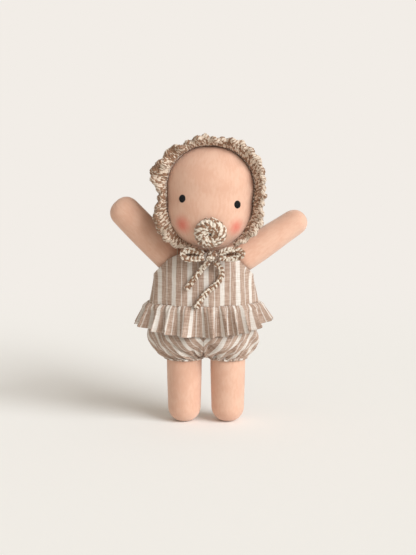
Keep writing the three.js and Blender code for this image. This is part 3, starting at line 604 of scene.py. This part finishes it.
# Bonnet brim: a ruffle in three rounds of tall stitches worked on from the rim, crowded so that it stands
# out in uneven waves. Chains of loops finish its edge.
brim_reach = np.array([
    [-164, 47], [-158, 50.5], [-150, 52.5], [-138, 53.8], [-128, 53.6], [-112, 51.5], [-102, 46.5], [-94, 44.4],
    [-87, 45.6], [-76, 53], [-67, 55.2], [-56, 52], [-44, 54], [-34, 50.2], [-21, 50.6], [-9, 52], [2, 49.4],
    [14, 51.2], [28, 53.4], [37, 52.8], [50, 52.6], [62, 50.6], [74, 48], [88, 47.2], [99, 46.2], [112, 50.2],
    [126, 50.4], [140, 49.8], [150, 48], [157, 44],
])
brim_curve = smooth_curve(np.column_stack([brim_reach, 0 * brim_reach[:, 0]]), 400)
brim_from, brim_to = math.radians(-160), math.radians(150)
rim_angle = np.linspace(brim_from - 0.1, brim_to + 0.1, 500)


def ramp(distance, width):
    """0 up to no distance, 1 from the width on, and straight between."""
    return np.clip(distance / width, 0, 1)


def on_rim_plane(reach):
    """Points of the plane that the rim lies in, at a reach from the middle of the head."""
    height = reach * np.cos(rim_angle)
    return points_of(reach * np.sin(rim_angle), rim_forward - height * rim_lean, height)


rim_reach = reach_in_head(on_rim_plane, rim_angle.shape, cap_gap + 1.1)
rim_reach += 1.5 * np.sin(rim_angle) ** 2 - 2.8 * ramp(np.abs(rim_angle) - 1.7, 0.5)


def on_brim(share, angle, lift):
    """A place on the ruffle: a share of the way from the rim to the edge, at an angle from the crown, lifted off
    its middle surface. The surface runs straight outwards and forwards and waves more towards its edge."""
    inner = np.interp(angle, rim_angle, rim_reach)
    outer = np.interp(np.degrees(angle), brim_curve[:, 0], brim_curve[:, 1]) - 2.4
    radius = inner + (outer - inner) * share
    wave = np.sin(angle * 17.5 + 0.9 * np.sin(3.1 * angle) + 0.5)
    crimp_phase = angle * 37 + 1.7 * np.sin(4.3 * angle)
    loose = np.clip(share, 0, None)
    ruffle = (2.1 + 0.9 * np.sin(5.3 * angle + 1)) * wave * loose**1.3 + 1.25 * np.sin(crimp_phase) * loose**1.6
    radius = radius + 0.7 * np.sin(crimp_phase + 1.2) * share**2
    rise = (7.6 - 4.2 * np.clip(-np.sin(angle), 0, 1)) * share + 1.3 * np.sin(np.pi * share)
    forward = rim_forward - inner * np.cos(angle) * rim_lean + 1.2 + rise + ruffle
    flare = math.radians(36)
    radius = radius - math.sin(flare) * lift
    return points_of(radius * np.sin(angle), -forward - math.cos(flare) * lift, radius * np.cos(angle))


def across_brim(paths):
    """The way that the ruffle faces along paths on it."""
    facing = paths * (-0.6, 0, -0.6)
    return unit(unit(facing) * 0.6 + np.array([0, -0.8, 0]))


brim_legs, brim_stitches = [], 88
width = (brim_to - brim_from) / brim_stitches / 2
for start, end, shift in ((-0.04, 0.42, 0), (0.34, 0.74, 0.5), (0.66, 1.0, 0)):
    middles = brim_from + (brim_to - brim_from) * (np.arange(brim_stitches) + shift) / brim_stitches
    for lift in (0.7, -1.0):
        brim_legs.append(stitch_legs(on_brim, start, end, middles, width, lift, uneven=0.2))
leg_paths = np.concatenate(brim_legs)
brim_pieces = [yarn("brim_legs", leg_paths, across_brim(leg_paths), 1.06, on_head, sides=7)]
for share, size, steps, side in ((0.98, 1.5, 66, 0.5), (0.96, 1.3, 79, -0.7)):
    angle = np.linspace(brim_from, brim_to, steps * 8 + 1)
    lumps = np.interp(angle, np.linspace(brim_from, brim_to, steps + 1), tension.uniform(-0.09, 0.09, steps + 1))
    for strand in range(2):
        phase = (angle - brim_from) / (brim_to - brim_from) * steps * 2 * np.pi + strand * np.pi
        path = on_brim(share + lumps + 0.07 * size * np.sin(phase), angle, 0.9 * size * np.cos(phase) + side)[None]
        brim_pieces.append(yarn("brim_chain", path, across_brim(path), 1.05, on_head, sides=7))
brim_marl = marled_cotton("marled_cotton_brim", shown(231, 213, 193), shown(152, 115, 88), 8.5)
brim = joined("bonnet_brim_stitches", brim_pieces, brim_marl)
# A sheet of dark marl under the ruffle's stitches, seen through the gaps between them: painted shade.
angle = np.linspace(brim_from, brim_to, 420)
ground_share = np.concatenate([np.linspace(0, 0.96, 14), np.linspace(0.96, 0, 14)])
ground = on_brim(*np.broadcast_arrays(ground_share, angle[:, None], np.repeat([0.35, -0.35], 14)))
ends = ground[[0, -1]].mean(axis=1, keepdims=True) * np.ones((1, 28, 1))
ground = np.concatenate([ends[:1], ground, ends[1:]])
ground_uv = points_of(np.arange(29) / 28, np.linspace(0, 250, 422)[:, None])
brim_shade_marl = marled_cotton("marled_cotton_shadow", shown(112, 82, 60), shown(70, 44, 28))
brim_painted_shade = surface("bonnet_brim_painted_shade", on_head(ground)[None], ground_uv, brim_shade_marl)
for piece in (brim, brim_painted_shade):
    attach(piece, "head")
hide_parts("bonnet_brim")

# Pacifier: a thick little rosette of the same cotton, worked in two rounds from a ring, that a magnet inside
# holds over the mouth. It looks ahead and a little down.
mouth_lean = turned("x", 108)
mouth_seat = on_head(face_point(np.array(1.6), np.array(-30.3)))
rosette_middle = mouth_seat + mouth_lean @ np.array([0, 0, -6.0])
rosette_profile = smooth_curve(
    [[0, 0, 3.2], [1.8, 0, 3.6], [3.8, 0, 5], [7, 0, 5.6], [9.6, 0, 4.7], [11, 0, 3], [11.3, 0, 1], [11, 0, -3]], 60,
)


def on_rosette(reach, around, lift):
    """A place on the rosette's crown: millimetres from its middle, around it, lifted off its rounded profile."""
    run = np.hypot(*np.gradient(rosette_profile[:, (0, 2)], axis=0).T).cumsum()
    height = np.interp(reach, run, rosette_profile[:, 2])
    radius = np.interp(reach, run, rosette_profile[:, 0])
    tip = ramp(reach - 9, 6)
    radius = radius + lift * tip
    local = points_of(radius * np.cos(around), radius * np.sin(around), height + lift * (1 - tip * 0.7))
    return clear_of_face(local @ mouth_lean.T + mouth_seat, 1.0)


def clear_of_face(points, gap):
    """Points that would lie in the head, moved forwards until they are a gap in front of it."""
    inner = (points - head_centre) @ head_lean
    inner[..., 1] = np.minimum(inner[..., 1], face_point(inner[..., 0], inner[..., 2])[..., 1] - gap)
    return on_head(inner)


paths = []
for start, end, stitches, shift, lift in ((2.6, 7.8, 6, 0.2, 0.7), (7.6, 14.4, 11, 0, 0.8), (8, 13.8, 11, 0.5, -0.1)):
    middles = 2 * np.pi * (np.arange(stitches) + shift) / stitches
    paths.append(stitch_legs(on_rosette, start, end, middles, np.pi / stitches, lift, points=9, uneven=0.22))
leg_paths = np.concatenate(paths)
rosette = [yarn("rosette_legs", leg_paths, unit(leg_paths - rosette_middle), 1.55, sides=10, ply_turn=3.8)]
for reach, steps, size, lift in ((7.4, 6, 1.3, 1.3), (13.4, 9, 1.1, 0.8)):
    around = np.linspace(0, 2 * np.pi, steps * 10 + 1)
    for strand in range(2):
        phase = around * steps + strand * np.pi
        path = on_rosette(reach + size * np.sin(phase), around, lift + 0.7 * np.cos(phase))[None]
        rosette.append(yarn("rosette_chain", path, unit(path - rosette_middle), 1.25, sides=10, ply_turn=3.8))
pacifier = joined("pacifier_rosette", rosette, marl)
# A dark marl body inside the rosette, seen through the gaps between its stitches: painted shade.
around = round_angles(48)
core_profile = np.vstack([rosette_profile[:, (0, 2)] * (0.97, 1) - (0, 0.5), [[0, -3.5]]])
core_rings = points_of(core_profile[:, :1] * np.cos(around), core_profile[:, :1] * np.sin(around), core_profile[:, 1:])
core_place = clear_of_face(core_rings @ mouth_lean.T + mouth_seat, 0.3)
pacifier_shade_marl = marled_cotton("marled_cotton_pacifier_shade", shown(120, 90, 68), shown(66, 42, 28))
core = surface("pacifier_painted_shade", core_place[None], round_body(core_rings), pacifier_shade_marl)
for piece in (pacifier, core):
    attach(piece, "pacifier")
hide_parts("pacifier")

# Bow: the two ties come from the lower ends of the brim, cross in a knot under the chin and make two small
# loops. They are the same crocheted chains as the tails.
bow_routes = {
    "tie_left": [[27, -29.6, 4.4], [20, -28.8, 1.8], [12.2, -28.4, 0.8]],
    "tie_right": [[-20.6, -29.6, 4.8], [-12, -28.8, 1.8], [-2.8, -28.4, 0.6]],
    "bow_loop_left": [
        [11.3, -34.6, 3.8], [18, -36, 6.6], [26.4, -37, 7], [30.6, -37, 3.8],
        [27, -36.4, 0.4], [19, -35.4, -0.4], [11.3, -34.4, 0],
    ],
    "bow_loop_right": [
        [-2.1, -34.6, 3.6], [-9, -36, 6.2], [-16.4, -36.8, 6.6], [-20, -36.8, 3],
        [-16.6, -36.2, -0.6], [-10, -35.4, -0.8], [-2.1, -34.4, 0],
    ],
}
knot_place = np.array([4.6, -31.6, 1.2 + torso_top])
knot_turn = np.linspace(0, 4 * np.pi, 24)
bow_paths = {node: np.array(route) + (0, 0, torso_top) for node, route in bow_routes.items()}
knot_path = points_of(2.3 * np.cos(knot_turn / 4), -3.0 * np.cos(knot_turn), 2.5 * np.sin(knot_turn))
bow_paths["bow_knot"] = knot_path + knot_place
for node, path in bow_paths.items():
    piece, _ = chain(node + "_chain", path)
    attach(piece, "head")
    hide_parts(node)

# Arms: tubes of the same jersey, stuffed firmly with wool and closed in a round end, sewn to the shoulders
# so that they reach up and out.


def limb_rings(root, length, half_width, half_thickness, tip, power):
    """Rings of a limb drawn upwards from its pivot: a half ball, a body that eases from the root's radius to the
    tip's sizes with a slight swelling, and an end rounded as a power of the cosine."""
    turn = -round_angles(72)
    bend = np.linspace(0, np.pi / 2, 15)
    share = np.linspace(0, 1, 26)[1:]
    ease = share**2 * (3 - 2 * share)
    full = 1 + 0.03 * np.sin(np.pi * share)
    end = np.linspace(0, np.pi / 2, 20)[1:]
    narrow = np.cos(end) ** (2 / power)
    narrow[-1] = 0
    widths, depths = (
        np.concatenate([root * np.sin(bend), (root + (half - root) * ease) * full, half * narrow])[:, None]
        for half in (half_width, half_thickness)
    )
    rises = [-root * np.cos(bend), (length - tip) * share, length - tip + tip * np.sin(end) ** (2 / power)]
    return points_of(widths * np.cos(turn), depths * np.sin(turn), np.concatenate(rises)[:, None])


def arm_lean(sign, raised, back, roll):
    """The frame of an arm: widthwise, across and along, raised over the level, swung back, rolled about itself."""
    raised, back = math.radians(raised), math.radians(back)
    level = np.array([sign * math.cos(back), math.sin(back), 0])
    along = level * math.cos(raised) + np.array([0, 0, math.sin(raised)])
    widthwise = -level * math.sin(raised) + np.array([0, 0, math.cos(raised)])
    return np.stack([widthwise, np.cross(along, widthwise), along], axis=1) @ turned("z", roll)


arm_jersey = jersey("arm_jersey", 104)
shoulder_aside, shoulder_back, shoulder_height = 32.5, 3, 145
for side, sign, raised, back, roll in (("left", 1, 30.2, 20, 90), ("right", -1, 46.3, 0, 0)):
    rings = limb_rings(root=13, length=65.6, half_width=13.3, half_thickness=11.2, tip=13, power=2.3)
    placed = rings @ arm_lean(sign, raised, back, roll).T + (sign * shoulder_aside, shoulder_back, shoulder_height)
    arm = surface(f"arm_{side}_jersey", placed[None], round_body(rings), arm_jersey)
    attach(arm, f"arm_{side}")
    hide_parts(f"arm_{side}_skin", f"arm_{side}_wool")

# Legs: the same jersey over wool, straight and stout, with feet that are only the rounded ends, pressed
# flat where they stand.
leg_jersey = jersey("leg_jersey", 118)
leg_aside, hip_height = 19, 74
for side, sign in (("left", 1), ("right", -1)):
    rings = limb_rings(root=15, length=74.5, half_width=14.3, half_thickness=14.6, tip=14, power=2.2)
    placed = rings * (1, -1, -1) + (sign * leg_aside, 0, hip_height)
    placed[..., 2] = np.maximum(placed[..., 2], 0)
    leg = surface(f"leg_{side}_jersey", placed[None], round_body(rings), leg_jersey)
    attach(leg, f"leg_{side}")
    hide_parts(f"leg_{side}_skin", f"leg_{side}_wool")

# Body: a plain bag of jersey round wool, all of it under the clothes but the shoulders at the neckline.
torso_half = np.array([36, 22])
torso_low, torso_high = 90.2, 149
torso_shares = [
    [0, 0, 0], [0.6, 0.6, 0], [0.74, 0.74, 0], [0.93, 0.94, 0.06], [1, 1, 0.3], [0.96, 0.98, 0.55],
    [0.86, 0.9, 0.78], [0.7, 0.8, 0.92], [0.51, 0.74, 1], [0.4, 0.6, 1], [0, 0, 1],
]
rows = smooth_curve(torso_shares, 80)
rows[-1, :2] = rows[0, :2] = 0
turn = round_angles(96)
heights = torso_low + (torso_high - torso_low) * np.clip(rows[:, 2], 0, 1)
rings = rings_round(torso_half[0] * rows[:, 0], torso_half[1] * rows[:, 1], heights, turn)
torso = surface("torso_jersey", rings[None], round_body(rings), jersey("torso_jersey", 220))
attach(torso, "torso")
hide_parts("torso_skin", "torso_wool")

# Top, bodice: striped linen, cream and taupe: a front and a back in an A line, seamed at the sides, with armholes,
# hemmed at its edges and left open in a slit down the back below the neck.


def striped_linen(name):
    """Linen in a plain weave, with a broad and a hairline cream stripe on taupe, 14 mm from one repeat to the
    next. The UV map is the flat cloth in millimetres. Threads of uneven thickness run both ways."""
    repeat, thread = 14.0, 0.62
    finish = Finish(name, Roughness=0.9, Sheen_Weight=0.12, Sheen_Roughness=0.5)
    across, along = finish.cloth_place()
    warp = finish.noise(1.0, 2, finish.add("CombineXYZ", {0: across * 2.1, 1: along * 0.11}))
    weft = finish.noise(1.0, 2, finish.add("CombineXYZ", {0: across * 0.1 + 40.0, 1: along * 2.1}))
    stripe = ((across + (warp - 0.5) * 0.5) / repeat).part()
    broad = stripe.step(0.0, 0.03) * (1 - stripe.step(0.29, 0.32))
    hairline = stripe.step(0.61, 0.635) * (1 - stripe.step(0.675, 0.7))
    turn = 2 * math.pi / thread
    threads = (across * turn).sine() * 0.25 + (along * turn).sine() * 0.25 + 0.5
    taupe = finish.mix((weft * 0.55 + warp * 0.45).step(0.34, 0.68), shown(150, 120, 101), shown(204, 182, 166))
    cream = finish.mix((weft * 0.6 + warp * 0.4).step(0.3, 0.7), shown(212, 202, 189), shown(238, 234, 228))
    colour = finish.mix((broad + hairline * 0.8) * (0.82 + threads * 0.18), taupe, cream)
    # Painted shade: the hollows between the woven threads are mixed towards a dark brown.
    finish.set(Base_Color=finish.mix((1 - threads) * 0.14, colour, shown(112, 86, 68)))
    finish.bump(threads * 0.6 + warp * 0.35 + weft * 0.35, 0.16)
    return finish.material


linen = striped_linen("striped_linen")


def cloth(name, grid, flat_uv, thickness):
    """A sheet of linen from a grid of points, given its thickness inwards."""
    piece = surface(name, grid[None], flat_uv, linen, open_sheet=True)
    wall = piece.modifiers.new("thickness", "SOLIDIFY")
    wall.thickness = thickness / 1000
    wall.offset = -1
    return piece


seam_height, neck_height, armhole_radius, slit_length = 106, 151.5, 15.2, 22
bodice_half = np.array([47.5, 27])
top_side = -2.4
bodice_shares = [[1, 1, 0], [0.93, 0.96, 0.35], [0.87, 0.91, 0.65], [0.74, 0.82, 0.85], [0.53, 0.71, 1]]
bodice_curve = smooth_curve(bodice_shares, 600)
around = np.linspace(0, 2 * np.pi, 320)[None, :]
share = np.linspace(0, 1, 60)[:, None]


def bodice_size(height):
    """Half-width and half-depth of the bodice at a height."""
    return sizes_at(bodice_curve, (height - seam_height) / (neck_height - seam_height), bodice_half)


def bell(distance, width):
    """1 at no distance, and less on both sides along a bell curve of the given width."""
    return np.exp(-((distance / width) ** 2))


edge = np.full_like(around, neck_height)
for _ in range(12):
    width, depth = bodice_size(edge)
    from_arm = np.abs(depth * np.cos(around) - shoulder_back)
    armhole = shoulder_height - np.sqrt(np.clip(armhole_radius**2 - from_arm**2, 0, None))
    slope = 144 + 7.5 * ramp(from_arm - 14, 4.5)
    edge = 0.5 * edge + 0.5 * np.where(from_arm < 14.6, np.minimum(armhole, slope), slope)
height = seam_height - 0.4 + (edge - seam_height + 0.4) * share
width, depth = bodice_size(height)
low = ramp(height - seam_height, 45)
waves = 0.75 * np.sin(9 * around + 0.8 * np.sin(2 * around)) * (1 - low) ** 1.6
gathers = 0.3 * np.sin(78 * around + 3 * np.sin(5 * around)) * np.exp(-(height - seam_height) / 2.6)
hem = 0.35 * (1 - ramp(edge - height, 2.4)) ** 0.3
slit = ramp(height - (neck_height - slit_length), 3) * 0.4
side_seams = -0.45 * bell(np.abs(np.sin(around)) - 1, 0.0004)
offset = waves + gathers + hem + side_seams
bodice_grid = points_of((width + offset) * np.sin(around) + top_side, (depth + offset) * np.cos(around), height)
bodice_grid[:, 0, 0] += slit[:, 0]
bodice_grid[:, -1, 0] -= slit[:, -1]
run = run_along(points_of(width * np.sin(around), depth * np.cos(around)))
column = np.arange(320)
back_panels = np.where(column < 80, run - run[:, :1] + 2, run - run[:, -1:] + 2)
panel = np.where((column < 80) | (column > 240), back_panels, run - run[:, 160:161] + 5.2)
bodice = cloth("bodice_linen", bodice_grid, points_of(panel, height), 0.8)
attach(bodice, "torso")
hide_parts("top_bodice")

# Top, peplum: a strip of the same linen, about twice as long as the seam that it is gathered into, so that it
# stands off in uneven folds and lifts a little over each hip. It is shown in two halves, which meet at the foot of
# a fold in front and behind.
fold_crests = np.radians([
    -195, -176, -157, -139, -121, -104, -88, -71, -50, -35.5, -18, 8.5, 20.8, 31, 43, 60, 78, 95, 112, 129, 146,
    165, 184,
])
fold_at, strip_top = -0.075, 105.8
around = np.radians(np.linspace(-185.5, 174.5, 900))[None, :]
share = np.linspace(0, 1, 44)[:, None]
fold_phase = 2 * np.pi * np.interp(around, fold_crests, np.arange(len(fold_crests)))
crest = np.cos(fold_phase)
rounded = 2 * (0.5 + 0.5 * crest) ** 0.62 - 1.15
folds = (0.3 + 5.2 * share**0.8) * rounded * (1 + 0.3 * np.sin(4 * around + 1))
deep = -7.5 * bell(around - fold_at, 0.06) * share**0.6
fine = np.sin(86 * around + 5 * np.sin(4 * around)) + 0.6 * np.sin(47 * around + 3)
gathers = 0.5 * fine * np.exp(-share / 0.2) * (1 - np.exp(-share / 0.03))
puff = 0.9 * bell(share - 0.16, 0.1) - 0.5 * np.exp(-share / 0.02)
flare = share**0.75
hip = bell(around - 1.45, 0.35)
width = bodice_half[0] + (6.5 + 1.5 * hip) * flare
depth = bodice_half[1] + 8 * flare
inmost = -8 * flare - 0.5 + 3.5 * share
offset = np.maximum(folds + deep, inmost) + gathers + puff
hem_height = 80.6 + 5.5 * np.sin(around) ** 2 + 4.5 * hip + 0.5 * crest
height = strip_top + (hem_height - strip_top) * share + 0.5 * np.sin(fold_phase * 2) * share * (1 - share)
lapped = around - 0.05 * np.sin(fold_phase) * share**0.7
peplum_grid = points_of((width + offset) * np.sin(lapped) + top_side, -(depth + offset) * np.cos(lapped), height)
peplum_grid += 0.28 * ramp(share - 0.9, 0.02)[..., None] * unit(peplum_grid * (1, 1, 0))
run = run_along(peplum_grid[30])
front = np.argmin(np.abs(around[0]))
flat_uv = points_of(run - run[front] + 3.5, 25.5 * (1 - share))
fold_foot = np.argmin(np.abs(around[0] - fold_at))
for side, columns in (("left", slice(fold_foot, None)), ("right", slice(0, fold_foot + 1))):
    half = peplum_grid[:, columns]
    peplum = cloth(f"peplum_{side}_linen", half[:, ::-1], flat_uv[:, columns][:, ::-1], 0.7)
    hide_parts("top_peplum")
    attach(peplum, "torso")
    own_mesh(peplum)

# Bloomers: two legs of the same linen, sewn together down the middle in front and behind, gathered on an
# elastic at the waist and at each cuff. Between the elastics they puff out. The seam allowance of each half lies
# inside the other half and closes the crotch when one leg is raised.
waist_height, crotch_height, cuff_height, cuff_radius = 101, 78, 56.5, 16.6
bloomer_half = np.array([48, 28.5])
bloomer_shares = [
    [0.74, 0.66, 0], [0.86, 0.83, 0.06], [0.96, 0.95, 0.24], [1, 1, 0.47], [0.96, 0.9, 0.68], [0.84, 0.84, 0.86],
    [0.78, 0.83, 0.93], [0.77, 0.83, 1],
]
bloomer_curve = smooth_curve(bloomer_shares, 600)
doubled = np.linspace(-1.09, 1.09, 286)[None, :]
beyond = np.abs(doubled) > 1
across = np.where(beyond, np.sign(doubled) * 2 - doubled, doubled)
share = np.linspace(0, 1, 90)[:, None]
for side, sign in (("left", 1), ("right", -1)):
    height = waist_height + (cuff_height - waist_height) * share
    part = (height - cuff_height) / (waist_height - cuff_height)
    width, depth = sizes_at(bloomer_curve, part, bloomer_half)
    drop = ramp(crotch_height - height, crotch_height - cuff_height - 1.6)
    to_leg = 1 - np.sqrt(1 - drop**2)
    body = across * np.pi / 2
    leg = across * np.pi
    cuff = cuff_radius + 0.9 * ramp(np.abs(height - cuff_height - 2.5), 2.5)
    inseam = ramp(61.5 - height, 3)
    inner = ramp(np.abs(across) - 0.62, 0.38) ** 1.5
    body_x, body_y = width * np.cos(body), depth * np.sin(body)
    leg_x, leg_y = leg_aside + cuff * np.cos(leg), cuff * np.sin(leg)
    x = body_x * (1 - to_leg) + leg_x * to_leg - (leg_aside - cuff) * to_leg * inner * (1 - inseam)
    y = body_y * (1 - to_leg) + leg_y * to_leg
    grid = points_of(x, y, height)
    down, along = np.gradient(grid, axis=0), np.gradient(grid, axis=1)
    outward = unit(np.cross(down, along))
    outward *= np.sign((outward * (grid - (leg_aside, 0, 79))).sum(axis=-1))[..., None]
    near_seam = ramp(1 - np.abs(across), 0.1)
    free = np.sin(np.pi * ramp(height - 58, 32))
    pleat_phase = across * 58 + 3 * np.sin(5 * across + sign) + 1.2 * np.sin(13 * across)
    pleats = (1.1 * np.sin(pleat_phase) + 0.5 * np.sin(1.7 * pleat_phase)) * np.exp(-np.abs((height - 61) / 7) ** 1.8)
    waist = 0.5 * np.sin(across * 70) * np.exp(-((waist_height - height) / 5))
    slant = across * 9 + (height - 60) * (0.2 if sign > 0 else 0.13)
    ridge = np.sin(slant + 0.8 * np.sin(across * 4 + sign)) * 0.5 + 0.5
    folds = (2.6 * ridge**1.7 - 1.1) * free * near_seam
    folds += 0.7 * np.sin(across * 17 + 0.25 * (height - 60)) * free**2 * near_seam
    from_crease = np.abs(across) - (0.72 if sign > 0 else 0.8) + 0.02 * (height - 62)
    crease = -3.0 * bell(from_crease, 0.035) * bell(height - 67, 7)
    if sign > 0:
        from_crotch = (across + 1) * 40 - (height - 60) * 0.75
        tuck = 3.4 * bell(from_crotch, 3.2) - 2.6 * bell(from_crotch + 4.6, 2)
        folds += tuck * bell(height - 69, 8) * ramp(across + 1, 0.06)
    grid = grid + (pleats + waist + folds + crease - 2.8 * beyond)[..., None] * outward
    mirrored = 1 - 2 * beyond * (1 - inseam)
    grid[..., 0] = np.maximum(grid[..., 0], 0.2) * mirrored * sign + top_side * (1 - 0.6 * to_leg - 0.4 * inseam)
    flat_across = across * 82 - 0.8 * (waist_height - height) * np.sign(across) * (np.abs(across) ** 0.5)
    flat_uv = points_of(flat_across + 6.0, waist_height - height)
    if sign < 0:
        grid, flat_uv = grid[:, ::-1], flat_uv[:, ::-1]
    bloomer = cloth(f"bloomers_{side}_linen", grid, flat_uv, 0.7)
    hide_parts(f"bloomers_{side}")
    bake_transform(bloomer)

# Small parts that the CAD solids show themselves: waxed linen thread at the eye line, neck, shoulders and hips
# and in the button loop, nickel-plated magnets, a turned olive-wood button, and woven elastic tape.


def ribbed(name, direction, scale, distortion, fibres, dark, pale, depth, **sockets):
    """Ridges that run in one direction, scale to the metre, paler on top, with fine fibres over them. The paler
    tops and darker hollows are painted light and shade.
    """
    finish = Finish(name, **sockets)
    wave = {"Vector": finish.place(), "Scale": scale, "Distortion": distortion}
    ridges = finish.add("TexWave", wave, 1, bands_direction=direction)
    fibres = finish.noise(*fibres)
    # Painted light and shade: the ridge tops take the pale colour and the hollows the dark one.
    finish.set(Base_Color=finish.mix(ridges * 0.6 + fibres * 0.3, dark, pale))
    finish.bump(ridges * 0.7 + fibres * 0.3, depth)
    return finish.material


# Off-white thread, twisted, with a dull wax shine; white elastic tape with ribs along its length.
waxed_thread = ribbed(
    "waxed_thread", "DIAGONAL", 420, 1, (2600, 3), shown(196, 182, 160), shown(236, 228, 212), 0.1,
    Roughness=0.55, Sheen_Weight=0.2,
)
woven_elastic = ribbed(
    "woven_elastic", "Z", 480, 0.2, (1800, 2), shown(198, 194, 186), shown(240, 238, 232), 0.2,
    Roughness=0.85, Sheen_Weight=0.15,
)


def plated_metal():
    """Nickel plate, brushed a little and with small scratches."""
    finish = Finish("nickel_plate", Metallic=1, Base_Color=shown(198, 196, 190))
    worn = finish.noise(380, 4)
    scratches = finish.noise(3200, 1)
    finish.set(Roughness=0.22 + worn * 0.16 + scratches * 0.06)
    finish.bump(scratches, 0.02)
    return finish.material


def turned_wood():
    """Pale wood with darker growth rings and open pores under a thin oil finish."""
    finish = Finish("olive_wood", Roughness=0.5, Coat_Weight=0.15)
    wander = finish.noise(160, 2)
    wave = {"Vector": finish.place(), "Scale": 190, "Distortion": 4, "Detail": 3}
    rings = finish.add("TexWave", wave, 1, wave_type="RINGS")
    pores = finish.noise(2400, 2).step(0.58, 0.7)
    tone = finish.mix(rings * 0.7 + wander * 0.3, shown(206, 164, 112), shown(150, 104, 62))
    finish.set(Base_Color=finish.mix(pores * 0.5, tone, shown(96, 62, 36)))
    finish.bump(1 - pores * 0.6, 0.06)
    return finish.material


small_parts = {
    waxed_thread: (
        "eye_line_tie", "neck_tie", "shoulder_thread_left", "shoulder_thread_right", "hip_thread_left",
        "hip_thread_right", "button_loop",
    ),
    plated_metal(): ("mouth_magnet", "pacifier_magnet"),
    turned_wood(): ("back_button",),
    woven_elastic: ("waist_elastic", "cuff_elastic_left", "cuff_elastic_right"),
}
for material, nodes in small_parts.items():
    for node in nodes:
        for place in bpy.data.objects[node].material_slots:
            place.material = material

# Floor and backdrop: a plain off-white sweep. Near the doll it is lit and takes its shadow, and further off
# the camera sees its plain colour.
backdrop_tone = shown(242, 237, 231)
finish = Finish("floor", Base_Color=shown(247, 246, 243), Roughness=1, Specular_IOR_Level=0)
away = finish.add("VectorMath", {0: finish.place()}, 1, operation="LENGTH")
plain = finish.add("Emission", {"Color": backdrop_tone, "Strength": 1})
parts = {0: away.step(0.32, 0.75) * finish.seen_ray(), 1: finish.shader.outputs[0], 2: plain}
finish.feed(finish.nodes["Material Output"].inputs[0], finish.add("MixShader", parts))
floor_side = np.linspace(-2400, 2400, 3)
floor_grid = points_of(floor_side, -floor_side[:, None], 0)
floor = surface("floor", floor_grid[None], floor_grid[..., :2], finish.material, open_sheet=True)

# Light: a broad soft lamp far off to the right in front, and the pale room all round.
room = Finish("room", bpy.data.worlds, "Background", Color=(1.0, 0.915, 0.81), Strength=0.48)
backdrop = room.add("Background", {"Color": backdrop_tone})
parts = {0: room.seen_ray(), 1: room.shader.outputs[0], 2: backdrop}
room.feed(room.nodes["World Output"].inputs[0], room.add("MixShader", parts))
bpy.context.scene.world = room.material
lamp_data = bpy.data.lights.new("soft_lamp", "SUN")
lamp_data.angle = math.radians(42)
lamp_data.energy = 3.0
lamp_data.color = (0.97, 1, 1.03)
aimed("soft_lamp", lamp_data, np.array([1040, -860, 900]), np.array([0, 0, 130]))
